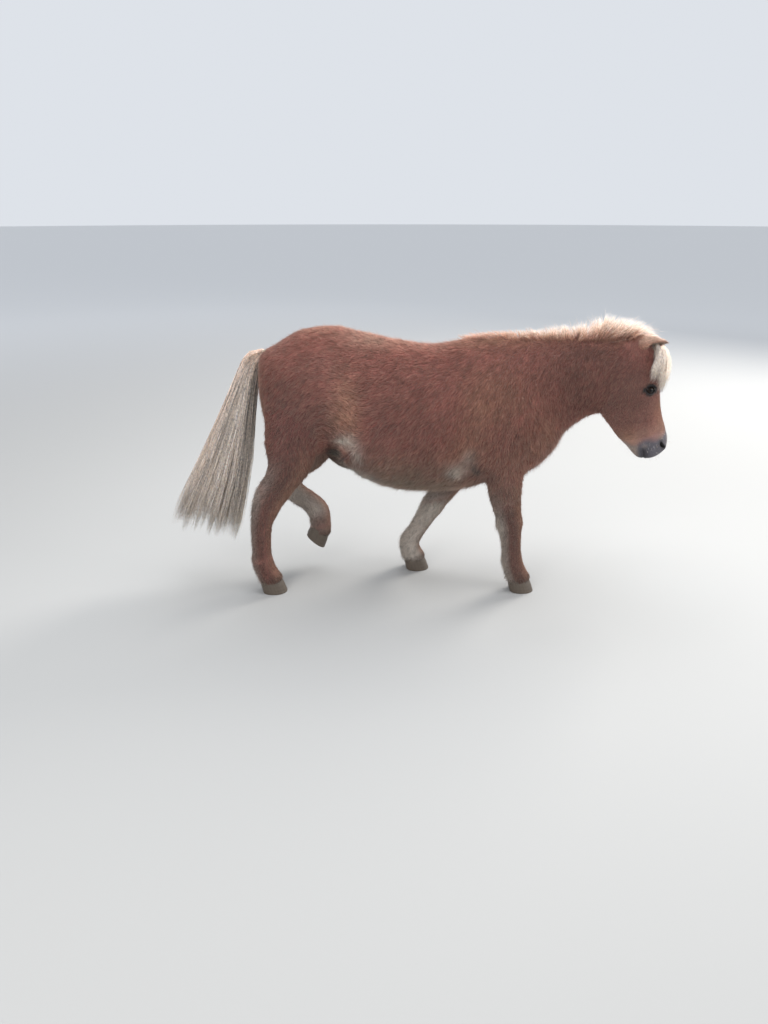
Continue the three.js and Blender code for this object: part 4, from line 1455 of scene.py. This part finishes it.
def forelock_mesh():
    """Hair from between the ears down over the forehead: layers of wisps, each drawn to its own point.

    A strand runs down the face at an angle round the head that grows towards its tip, by the two
    angles of FORELOCK_SPAN in degrees. It stands off the face, a superellipse round the head's middle
    line, by its layer's share of the thickness. The wisps at the sides end higher up than the others.
    """
    dice = np.random.default_rng(37)
    n = FORELOCK_COUNT
    wisp = dice.integers(0, FORELOCK_WISPS, n)
    heart = np.linspace(-1, 1, FORELOCK_WISPS)[wisp] + dice.uniform(-0.08, 0.08, FORELOCK_WISPS)[wisp]
    layer_of_wisp = dice.random(FORELOCK_WISPS)[wisp]
    reach_of_wisp = dice.uniform(0.84, 1.04, FORELOCK_WISPS)[wisp]
    bow = dice.uniform(-1, 1, (FORELOCK_WISPS, 2))[wisp]
    stray = dice.random(n) < FORELOCK_STRAYS
    across = np.clip(heart + 0.30 * dice.normal(size=n), -1.1, 1.1)
    layer = np.clip(layer_of_wisp + 0.28 * dice.normal(size=n), 0, 1)
    start = dice.uniform(*FORELOCK_ROOTS, n)
    end = (FORELOCK_LONGEST - FORELOCK_SIDES_SHORTER * heart ** 2) * reach_of_wisp
    end = end * dice.uniform(0.76, 1.04, n)
    share = np.linspace(0, 1, FORELOCK_STEPS)[None]
    down = start[:, None] + (end - start)[:, None] * share
    thick = np.interp(down, *np.array(FORELOCK).T) * (0.12 + 0.88 * layer[:, None])
    thick = thick * (1 - 0.5 * np.abs(heart[:, None]) * share)
    drawn = 0.75 * share ** 1.2
    turn = across[:, None] * (1 - drawn) + heart[:, None] * drawn
    turn = np.radians(turn * (FORELOCK_SPAN[0] + (FORELOCK_SPAN[1] - FORELOCK_SPAN[0]) * share))
    turn = turn + 0.07 * bow[:, :1] * np.sin(np.pi * share) + 0.12 * (stray * bow[:, 1])[:, None] * share
    along = down * MM
    tall = (head.column(along, 1) - head.column(along, 2)) / 2
    wide = head.column(along, 3) / 2
    reach = ((np.cos(turn) / tall) ** 2.4 + np.abs(np.sin(turn) / wide) ** 2.4) ** (-1 / 2.4)
    lift = thick * np.minimum(0.2 + share * 3, 1) + (stray * dice.uniform(2, 14, n))[:, None] * share - 5
    reach = reach + lift * MM
    out = head.middle(along) + reach * np.cos(turn)
    paths = head.origin + along[..., None] * head.along + out[..., None] * head.out
    paths = paths + (reach * np.sin(turn))[..., None] * LEFTWARD
    widths = dice.uniform(0.6, 1.4, n)[:, None] * MM * taper(FORELOCK_STEPS, 0.8, 1)
    tips = blend(plain("cream", n), "golden", 0.10 * dice.random(n) ** 2)
    colours = blend(tips, "golden", 0.15)
    uv = chart("head", *round_form(head, paths[:, 0]))
    ups = np.tile(head.out, (n, 1))
    return lock_mesh("forelock_hair", paths, widths, ups, uv, colours, dice.random((n, 2)), tips=tips)


# The tail: locks in each half turn of each of its layers, and where along it the dock ends

TAIL_COUNT = 7000
TAIL_STEPS = 6
TAIL_LOCKS = 12
TAIL_LAYERS = 3
TAIL_STRAYS = 0.25
DOCK_END = 0.40


def tail_paths(dice):
    """Strands that leave the dock and fill the tail's outline, from its front round to its back.

    Each strand keeps its share of the outline's size, reached soon after its root, and turns
    slowly towards the middle of its lock.
    """
    n = TAIL_COUNT
    angle = dice.uniform(-np.pi, np.pi, n)
    depth = dice.random(n) ** 0.45
    layer = np.floor(depth * TAIL_LAYERS)
    cell = np.floor((angle + 0.35 * layer) * TAIL_LOCKS / np.pi)
    lock = (cell + 0.5) * np.pi / TAIL_LOCKS - 0.35 * layer
    luck = scrambled(np.stack([cell, layer, 0 * cell], axis=1), 19)
    stray = dice.random(n) < TAIL_STRAYS
    start = dice.uniform(0.02, DOCK_END, n)
    ragged = waves(np.stack([lock, 3 * depth, lock], axis=1), 1.3, 15)
    end = np.clip(0.99 - 0.30 * dice.random(n) ** 1.8 - 0.10 * luck[:, 0] + 0.04 * ragged, 0, 1.0)
    end = np.maximum(end - 0.14 * (1 - depth), start + 0.3)
    share = np.linspace(0, 1, TAIL_STEPS)[None] ** 1.5
    place_on = start[:, None] + (end - start)[:, None] * share
    flat = (place_on * tail.ends[1]).ravel()
    swell_out = 1 + (stray * dice.uniform(-0.10, 0.14, n) + 0.14 * (luck[:, 2] - 0.6))[:, None] * share
    spread = np.minimum(0.35 + share * 3.2, 1) * depth[:, None] * swell_out
    drawn = np.where(stray, 0, 0.15 + 0.55 * luck[:, 1])[:, None]
    turn = angle[:, None] + (lock - angle)[:, None] * drawn * share ** 1.5
    ripple = waves(np.stack([lock, depth, start], axis=1), 1.2, 9)[:, None]
    turn = turn + (0.20 * ripple + 0.05 * dice.normal(size=(n, 1))) * np.sin(share * 6)
    sizes = tail.mix(tail.sizes, flat)
    out = (spread * np.cos(turn)).ravel() * sizes[:, 0] / 2
    left = (spread * np.sin(turn)).ravel() * sizes[:, 1] / 2
    paths = tail.mix(tail.path, flat) + tail.mix(tail.out, flat) * out[:, None]
    paths = paths + tail.mix(tail.left, flat) * left[:, None]
    return paths.reshape(n, TAIL_STEPS, 3), angle, start, depth


def tail_mesh():
    """Cream hair, dark grey-brown on the side towards the body, and all cream at the ends."""
    dice = np.random.default_rng(43)
    paths, angle, start, depth = tail_paths(dice)
    n = TAIL_COUNT
    clump = clumps(paths[:, 2], 13 * MM, 6)[1]
    front = np.cos(angle)
    chance = 0.24 + 0.80 * ramp(front, 0.35, 0.75) + 0.30 * hump(front, -0.4, 0.3)
    chance += 0.4 * (clump[:, 0] - 0.5) + 0.2 * (1 - depth)
    dark = (dice.random(n) < chance) * dice.uniform(0.65, 1, n) * np.clip(start / 0.10, 0.15, 1)
    cream = layered(
        plain("cream", n),
        ("golden", 0.06 + 0.24 * dice.random(n) ** 2),
        ("golden", 0.75 * np.clip(-front - 0.1, 0, 1) * (0.4 + 0.6 * clump[:, 1])),
    )
    tips = blend(cream, "cream", 0.8)
    colours = layered(
        cream,
        ("ash", 0.6 * dark),
        ("dark tail", np.clip(2.2 * dark - 1.0, 0, 0.95)),
        ("golden", 0.7 * ramp(start, 0.10, 0.02)),
    )
    widths = dice.uniform(0.9, 2.1, n)[:, None] * MM * taper(TAIL_STEPS, 0.8, 1)
    uv = chart("tail", start * tail.ends[1], angle)
    ups = np.tile([-0.3, -1.0, 0.2], (n, 1)) * np.where(np.sin(angle) > 0, -1, 1)[:, None]
    strands = np.stack([dice.random(n), clump[:, 3]], axis=1)
    return lock_mesh("tail_hair", paths, widths, ups, uv, colours, strands, thick=0.4, tips=tips, fade=2.0)


def dock_mesh():
    """The fleshy dock inside the top of the tail, as rings along its path."""
    steps = int(DOCK_END * tail.ends[1]) + 3
    turn = once_round(20)
    shrink = np.linspace(0.62, 0.16, steps)[:, None]
    depth, width = (tail.sizes[:steps, k:k + 1] / 2 * shrink for k in (0, 1))
    points = tail.path[:steps, None] + (np.cos(turn) * depth)[..., None] * tail.out[:steps, None]
    points = points + (np.sin(turn) * width)[..., None] * tail.left[:steps, None]
    data, corners = ring_mesh("dock", points)
    along, angle = np.broadcast_arrays(np.arange(steps)[:, None], turn - np.pi)
    unwrap(data, "OFBake", chart("tail", along.ravel(), angle.ravel())[corners])
    carry(data, "coat colour", plain("ash", along.size))
    return data


# Hooves: share of the height, size, and how far the middle lies ahead of the sole's

HOOF_SIZE = (92 * MM, 84 * MM, 50 * MM)
HOOF = [[0.0, 1.00, 0], [0.5, 0.97, -7], [1.0, 0.91, -15]]

# Where each hoof stands (ahead, left, up) and how far its toe points down, in degrees

HOOVES = {
    "fore_right": (526, -LEG_TRACK["fore"], 0, 0),
    "fore_left": (135, LEG_TRACK["fore"], 0, 0),
    "hind_right": (-417, -LEG_TRACK["hind"], 0, 0),
    "hind_left": (-276, LEG_TRACK["hind"], 118, 40),
}


def hoof_mesh(name):
    """Rings of a slanted cone: squared ellipses, notched between the heels, with faint growth rings."""
    length, width, height = HOOF_SIZE
    share, size, lean = curve(HOOF, 21).T[:, :, None]
    turn = once_round(56)[None]
    c, s = np.cos(turn), np.sin(turn)
    heel = 1 - 0.10 * hump(np.abs(turn - np.pi), 0, 0.22) * (1 - 0.5 * share)
    ridge = 1 + 0.006 * np.sin(share * 34) * np.clip(share * 1.6, 0, 1)
    grow = size * heel * ridge
    front = np.sign(c) * np.abs(c) ** (2 / 2.3) * length / 2 * grow + lean * MM
    across = np.sign(s) * np.abs(s) ** (2 / 2.3) * (1 - 0.06 * c) * width / 2 * grow
    up = np.broadcast_to(share * height, front.shape)
    x, y, z, toe = HOOVES[name]
    toe = math.radians(toe)
    data, corners = ring_mesh(f"{name}_hoof", np.stack([
        front * math.cos(toe) + up * math.sin(toe) + x * MM - LOIN,
        across + y * MM,
        up * math.cos(toe) - front * math.sin(toe) + z * MM,
    ], axis=-1))
    horn = np.stack(np.broadcast_arrays(turn / (2 * np.pi), share), axis=-1).reshape(-1, 2)
    unwrap(data, "OFBake", (horn * 0.9 + 0.05)[corners])
    carry(data, "horn", np.c_[horn, np.zeros(len(horn))])
    return data


# Eyes: a ball with a clear bulge in front; the gaze map holds places from the middle of the pupil

def eye_mesh(side):
    """Rings round the gaze from front to back: a ball, bulged in front by a bell curve."""
    middle, long, tall, gaze = eye_axes(side)
    polar = np.linspace(0.01, np.pi - 0.01, 40)[:, None]
    turn = once_round(48)[None] * side
    reach = (EYE_RADIUS - 1.0 * MM + 1.6 * MM * hump(polar, 0, 0.62))[..., None]
    points = (np.sin(polar) * np.cos(turn))[..., None] * long
    points = points + (np.sin(polar) * np.sin(turn))[..., None] * tall
    data, corners = ring_mesh("eye", middle + reach * (points + np.cos(polar)[..., None] * gaze))
    places = np.stack([polar * np.cos(turn), polar * np.sin(turn)], axis=-1).reshape(-1, 2)
    unwrap(data, "OFBake", (places / 8 + 0.5)[corners])
    carry(data, "gaze", np.c_[places, np.zeros(len(places))])
    return data


def short_hairs(name, dice, roots, headings, bends, lengths, width, ends, up, colours, seed):
    """Lashes or whiskers: hairs of four straight lengths each, that bend a little."""
    n = len(roots)
    paths = strand_paths(roots, headings, bends, lengths * MM, 5, *seed)
    widths = np.full((n, 4), width * MM) * taper(5, *ends)
    uv = chart("head", *round_form(head, roots))
    return lock_mesh(name, paths, widths, np.tile(up, (n, 1)), uv, colours, dice.random((n, 2)))


def lash_mesh(side):
    """Lashes along the upper lid, curving out and down."""
    dice = np.random.default_rng(53)
    n = 90
    middle, long, tall, gaze = eye_axes(side)
    share = dice.uniform(-0.82, 0.82, n)[:, None]
    above = (EYE_OPENING["tall"] * (1 - np.abs(share) ** 2.2) ** 0.75 + 1.2) * MM
    along = share * EYE_OPENING["long"] * MM
    outward = np.sqrt(np.maximum((EYE_RADIUS + LID) ** 2 - (along ** 2 + above ** 2), 0)) - 0.6 * MM
    roots = middle + along * long + above * tall + outward * gaze
    headings = unit(gaze + 0.35 * tall + share * 0.5 * long)
    bends = unit(gaze * 0.8 - 0.5 * tall + share * 0.8 * long)
    lengths = dice.uniform(9, 16, n)
    dark = plain("dark skin", n)
    return short_hairs(
        "lashes", dice, roots, headings, bends, lengths, 0.8, (0.9, 1), tall, dark, (0.05, 54)
    )


def whisker_mesh(skin):
    """Sparse long hairs on the lips and chin."""
    dice = np.random.default_rng(59)
    n = 90
    mine = np.flatnonzero((skin.names == "coat_of_the_muzzle") & skin.grows)
    spots = Scatter(skin, mine, 1, n, dice)
    roots = spots.at(skin.points)
    normals = unit(spots.at(skin.normals))
    bends = unit(normals + 0.8 * head.along)
    lengths = dice.uniform(10, 26, n)
    colours = blend(plain("pale", n), "ash", dice.random(n))
    return short_hairs(
        "whiskers", dice, roots, normals, bends, lengths, 0.55, (1, 0.9), head.out, colours, (0.08, 60)
    )


# Materials: shared effects as node groups, and one material for each kind of surface

def group(name, inputs, outputs):
    """An empty node group; inputs are (title, kind, value) and outputs are (title, kind)."""
    tree = bpy.data.node_groups.new(name, "ShaderNodeTree")
    for title, kind, value in inputs:
        socket = tree.interface.new_socket(title, in_out="INPUT", socket_type="NodeSocket" + kind)
        socket.default_value = value
    for title, kind in outputs:
        tree.interface.new_socket(title, in_out="OUTPUT", socket_type="NodeSocket" + kind)
    return tree, tree.nodes.new("NodeGroupInput").outputs, tree.nodes.new("NodeGroupOutput").inputs


def node(tree, kind, values=None, **settings):
    """A new node; a value of an input is another node's output to link, or what the input is set to."""
    made = tree.nodes.new("ShaderNode" + kind)
    for key, value in settings.items():
        setattr(made, key, value)
    for key, value in (values or {}).items():
        if isinstance(value, bpy.types.NodeSocket):
            tree.links.new(value, made.inputs[key])
        else:
            made.inputs[key].default_value = value
    return made


def maths(tree, operation, *values):
    """The output of a math node."""
    return node(tree, "Math", dict(enumerate(values)), operation=operation).outputs[0]


def span(tree, value, low, high):
    """A value from 0 to 1, moved to the span from low to high."""
    return maths(tree, "MULTIPLY_ADD", value, high - low, low)


def mix_colours(tree, share, a, b, how="MIX"):
    """The output of a node that mixes two colours."""
    made = node(tree, "Mix", {0: share, 6: a, 7: b}, data_type="RGBA", blend_type=how)
    return made.outputs[2]


def scaled(tree, colour, light):
    """A colour times a light."""
    return node(tree, "VectorMath", {0: colour, "Scale": light}, operation="SCALE").outputs[0]


def attribute(tree, name, output="Color"):
    """What a mesh carries under a name."""
    return node(tree, "Attribute", attribute_name=name).outputs[output]


def noise(tree, place, scale, detail=2.0):
    """A noise from 0 to 1."""
    return node(tree, "TexNoise", {"Vector": place, "Scale": scale, "Detail": detail}).outputs["Fac"]


def stretched(tree, place, x, y):
    """A place with its two numbers multiplied."""
    return node(tree, "Mapping", {"Vector": place, "Scale": (x, y, 1.0)}).outputs[0]


def soft_step(tree, value, start, end):
    """0 up to the start and 1 past the end, smooth between."""
    return node(tree, "MapRange", {0: value, 1: start, 2: end}, interpolation_type="SMOOTHSTEP").outputs[0]


def far_from_middle(tree, across, above):
    """The length of two numbers taken together."""
    squares = [maths(tree, "MULTIPLY", value, value) for value in (across, above)]
    return maths(tree, "SQRT", maths(tree, "ADD", *squares))


def finish(tree, shader, colour, height=None, strength=0.0, distance=0.0):
    """Gives a material its colour, and its bumps where it has a height."""
    tree.links.new(colour, shader.inputs["Base Color"])
    if height is not None:
        bump = node(tree, "Bump", {"Strength": strength, "Distance": distance, "Height": height})
        tree.links.new(bump.outputs["Normal"], shader.inputs["Normal"])


def hair_colour_group():
    """The hair's colour, darker at the root as painted shade deep in the coat, paler at the tip, with its
    own and its clump's tone.
    """
    tree, source, result = group(
        "hair colour",
        [("Coat Colour", "Color", (1, 1, 1, 1)), ("Along", "Float", 0.5), ("Tone", "Float", 0.5),
         ("Clump", "Float", 0.5), ("Root Shade", "Float", 0.5), ("Tip Light", "Float", 0.3)],
        [("Base Color", "Color")],
    )
    own = span(tree, source["Tone"], 0.68, 1.32)
    shared = span(tree, source["Clump"], 0.76, 1.24)
    shade = maths(tree, "SUBTRACT", 1.0, source["Root Shade"])
    rise = maths(tree, "MULTIPLY_ADD", source["Along"], source["Root Shade"], shade)
    light = maths(tree, "MULTIPLY", maths(tree, "MULTIPLY", own, shared), rise)
    toned = scaled(tree, source["Coat Colour"], light)
    tip = maths(tree, "MULTIPLY", maths(tree, "POWER", source["Along"], 2.0), source["Tip Light"])
    tip = maths(tree, "MULTIPLY", tip, span(tree, source["Tone"], 0.3, 1.7))
    tree.links.new(mix_colours(tree, tip, toned, (0.62, 0.49, 0.36, 1)), result["Base Color"])
    return tree


def new_material(name, **settings):
    """A material with its main shader's inputs set; gives the material, its tree and that shader."""
    material = bpy.data.materials.new(name)
    material.use_nodes = True
    shader = material.node_tree.nodes["Principled BSDF"]
    for key, value in settings.items():
        shader.inputs[key.replace("_", " ")].default_value = value
    return material, material.node_tree, shader


def hair_material(name, root_shade, tip_light, grizzle=0.0, **settings):
    """Hair with its strand's own colour, grizzled by a fine noise of light and dark specks."""
    material, tree, shader = new_material(name, **settings)
    along, own, shared = node(tree, "SeparateColor", {0: attribute(tree, "strand")}).outputs
    colour = attribute(tree, "coat colour")
    if grizzle:
        speck = noise(tree, node(tree, "TexCoord").outputs["Object"], 130.0)
        light = span(tree, speck, 1 - grizzle, 1 + grizzle)
        light = maths(tree, "ADD", light, maths(tree, "MULTIPLY", along, 0.12))
        colour = scaled(tree, colour, light)
    tone = node(tree, "Group", node_tree=HAIR_COLOUR)
    for title, value in {"Coat Colour": colour, "Along": along, "Tone": own, "Clump": shared}.items():
        tree.links.new(value, tone.inputs[title])
    tone.inputs["Root Shade"].default_value = root_shade
    tone.inputs["Tip Light"].default_value = tip_light
    finish(tree, shader, tone.outputs["Base Color"])
    return material


def skin_material():
    """Skin with its markings, painted light and shade; short hair shows on it as specks of tone and as bumps
    of two grains.
    """
    material, tree, shader = new_material(
        "skin and short hair", Roughness=0.68, Specular_IOR_Level=0.3, Sheen_Weight=0.10, Sheen_Roughness=0.5
    )
    place = node(tree, "TexCoord").outputs["Object"]
    tone = node(tree, "Group", node_tree=HAIR_COLOUR)
    for title, value in {
        "Coat Colour": attribute(tree, "coat colour"),
        "Tone": noise(tree, place, 420.0),
        "Clump": noise(tree, place, 45.0, 3.0),
    }.items():
        tree.links.new(value, tone.inputs[title])
    # The root shade darkens the skin as painted shade between the tufts.
    for title, value in {"Along": 0.5, "Root Shade": 0.60, "Tip Light": 0.0}.items():
        tone.inputs[title].default_value = value
    height = maths(tree, "ADD", noise(tree, place, 700.0, 3.0), noise(tree, place, 210.0))
    finish(tree, shader, tone.outputs["Base Color"], height, 0.55, 0.6 * MM)
    return material


def horn_material():
    """Dark horn, streaked from the coronet down, with pale growth rings."""
    material, tree, shader = new_material("hoof horn", Roughness=0.55)
    place = attribute(tree, "horn", "Vector")
    streak = noise(tree, stretched(tree, place, 60.0, 1.2), 1.0, 3.0)
    ring = noise(tree, stretched(tree, place, 1.5, 26.0), 1.0, 1.0)
    colour = mix_colours(tree, streak, (0.030, 0.022, 0.017, 1), (0.115, 0.085, 0.060, 1))
    colour = mix_colours(tree, span(tree, ring, -0.25, 0.65), colour, (0.160, 0.130, 0.100, 1))
    height = maths(tree, "ADD", ring, maths(tree, "MULTIPLY", streak, 0.4))
    finish(tree, shader, colour, height, 0.5, 0.8 * MM)
    return material


def eye_material():
    """A wet dark eye: a long level pupil, a brown iris with fine rays, a dark rim, then the white."""
    material, tree, shader = new_material(
        "eye", Roughness=0.12, Specular_IOR_Level=0.10, Coat_Weight=0.12, Coat_Roughness=0.03
    )
    gaze = attribute(tree, "gaze", "Vector")
    across, above, _ = node(tree, "SeparateXYZ", {0: gaze}).outputs
    out = far_from_middle(tree, across, above)
    pupil = far_from_middle(tree, across, maths(tree, "MULTIPLY", above, 1.7))
    rays = noise(tree, stretched(tree, gaze, 9.0, 3.0), 2.0, 3.0)
    colour = mix_colours(tree, rays, (0.005, 0.003, 0.002, 1), (0.020, 0.010, 0.006, 1))
    for distance, start, end, layer in (
        (pupil, 0.42, 0.34, (0.003, 0.003, 0.004, 1)),
        (out, 0.74, 0.84, (0.010, 0.006, 0.005, 1)),
        (out, 0.86, 1.0, (0.05, 0.035, 0.03, 1)),
    ):
        colour = mix_colours(tree, soft_step(tree, distance, start, end), colour, layer)
    finish(tree, shader, colour)
    return material


HAIR_COLOUR = hair_colour_group()

# The whole skin: the body's and the two ears', joined in one mesh

def whole_skin(parts, material):
    """One mesh of several, with the colours and the UV map of all."""
    points = np.concatenate([part.points for part in parts])
    shifts = np.cumsum([0] + [len(part.points) for part in parts])
    corners = np.concatenate([part.corners + shift for part, shift in zip(parts, shifts)])
    data = new_mesh("skin", points, corners, np.concatenate([part.face_sizes for part in parts]))
    carry(data, "coat colour", np.concatenate([part.colours for part in parts]))
    unwrap(data, "OFBake", np.concatenate([part.chart for part in parts]))
    flesh = [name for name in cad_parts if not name.startswith(("eye", "mane", "tail", "forelock"))
             and not name.endswith("hoof")]
    add_piece("skin", data, material, "chestnut_coat", *flesh)


def build_pony():
    """Makes all the pieces of the pony."""
    skin_look = skin_material()
    coat_look = hair_material(
        "coat hair", 0.48, 0.32,
        Roughness=0.70, Specular_IOR_Level=0.25, Sheen_Weight=0.10, Sheen_Roughness=0.4,
    )
    long_look = hair_material(
        "mane and tail hair", 0.10, 0.0, 0.9,
        Roughness=0.55, Sheen_Weight=0.10,
        Subsurface_Weight=0.5, Subsurface_Radius=(1.0, 0.75, 0.5), Subsurface_Scale=6 * MM,
    )
    lash_look = hair_material("lash hair", 0.2, 0.0, Roughness=0.5, Specular_IOR_Level=0.2)
    horn_look = horn_material()
    eye_look = eye_material()

    body = BodyHide()
    ears = [EarHide(side) for side in SIDES]
    whole_skin([body, *ears], skin_look)
    for seed, (name, (count, clump_size)) in enumerate(COATS.items(), 100):
        data = tuft_mesh(name, body, count, clump_size, seed)
        add_piece(name, data, coat_look, "bare_skin" if "muzzle" in name else "chestnut_coat")
    for side, ear in zip(SIDES, ears):
        name = f"coat_of_the_{SIDES[side]}_ear"
        add_piece(name, tuft_mesh(name, ear, EAR_TUFTS, EAR_CLUMP, 120 + side), coat_look, "chestnut_coat")
    for name, made in {"mane": mane_mesh, "forelock": forelock_mesh, "tail": tail_mesh}.items():
        add_piece(f"{name}_hair", made(), long_look, "flaxen_hair", name)
    add_piece("dock", dock_mesh(), skin_look, "flaxen_hair")
    for name in HOOVES:
        add_piece(f"{name}_horn", hoof_mesh(name), horn_look, "hoof_horn", f"{name}_hoof")
    for side, word in SIDES.items():
        add_piece(f"{word}_eyeball", eye_mesh(side), eye_look, "eye_surface", f"eye_{word}")
        add_piece(f"{word}_lashes", lash_mesh(side), lash_look, "chestnut_coat")
    add_piece("whiskers", whisker_mesh(body), long_look, "bare_skin")


build_pony()

# Floor, lights (place, aim, size, power, colour) and camera

FLOOR_REACH = 60
LIGHTS = {
    "soft sky light": [(0.4, 0.5, 3.8), (0.1, 0, 0.6), 4.0, 170, (0.98, 0.99, 1.0)],
    "soft back light": [(3.4, 3.2, 3.6), (0.3, 0, 0.75), 2.4, 250, (1.0, 0.96, 0.90)],
    "soft face light": [(3.2, -1.0, 1.3), (0.8, 0, 0.75), 1.6, 38, (1.0, 0.98, 0.97)],
    "soft front light": [(-1.8, -3.4, 2.6), (0, 0, 0.6), 2.6, 75, (1.0, 0.98, 0.96)],
}
ROOM_COLOUR = (0.86, 0.90, 0.96, 1)
ROOM_STRENGTH = 0.85
LENS = 27.07
CAMERA_PLACE = (-LOIN, -2.7457, 1.3746)
CAMERA_DIP = 21.737


def add_floor():
    """A wide round floor, pale and matt, and paler far from the pony."""
    around = 96
    turn = once_round(around)
    points = np.stack([FLOOR_REACH * np.cos(turn), FLOOR_REACH * np.sin(turn), 0 * turn], axis=1)
    material, tree, shader = new_material("floor", Roughness=0.9)
    place = node(tree, "TexCoord").outputs["Object"]
    away = node(tree, "VectorMath", {0: place}, operation="LENGTH").outputs["Value"]
    far = soft_step(tree, away, 1.8, 9.0)
    finish(tree, shader, mix_colours(tree, far, (0.35, 0.35, 0.345, 1), (0.70, 0.71, 0.72, 1)))
    in_scene("floor", new_mesh("floor", points, np.arange(around), np.array([around])), material)


def add_light(name, place, aim, size, power, colour):
    """A soft round light at a place, turned to another."""
    light = bpy.data.objects.new(name, bpy.data.lights.new(name, "AREA"))
    light.data.shape = "DISK"
    light.data.size = size
    light.data.energy = power
    light.data.color = colour
    light.location = place
    light.rotation_euler = (Vector(aim) - Vector(place)).to_track_quat("-Z", "Y").to_euler()
    bpy.context.scene.collection.objects.link(light)


def add_world():
    """Even light from all round."""
    world = bpy.data.worlds.new("soft room light")
    world.use_nodes = True
    background = world.node_tree.nodes["Background"]
    background.inputs["Color"].default_value = ROOM_COLOUR
    background.inputs["Strength"].default_value = ROOM_STRENGTH
    bpy.context.scene.world = world


def add_camera():
    """The camera, level from side to side and looking down at the pony's right side."""
    data = bpy.data.cameras.new("camera")
    data.lens = LENS
    camera = bpy.data.objects.new("camera", data)
    camera.location = CAMERA_PLACE
    camera.rotation_euler = (math.radians(90 - CAMERA_DIP), 0, 0)
    bpy.context.scene.collection.objects.link(camera)
    bpy.context.scene.camera = camera


add_floor()
for title, light in LIGHTS.items():
    add_light(title, *light)

add_world()
add_camera()
bpy.context.scene.view_settings.view_transform = "Standard"
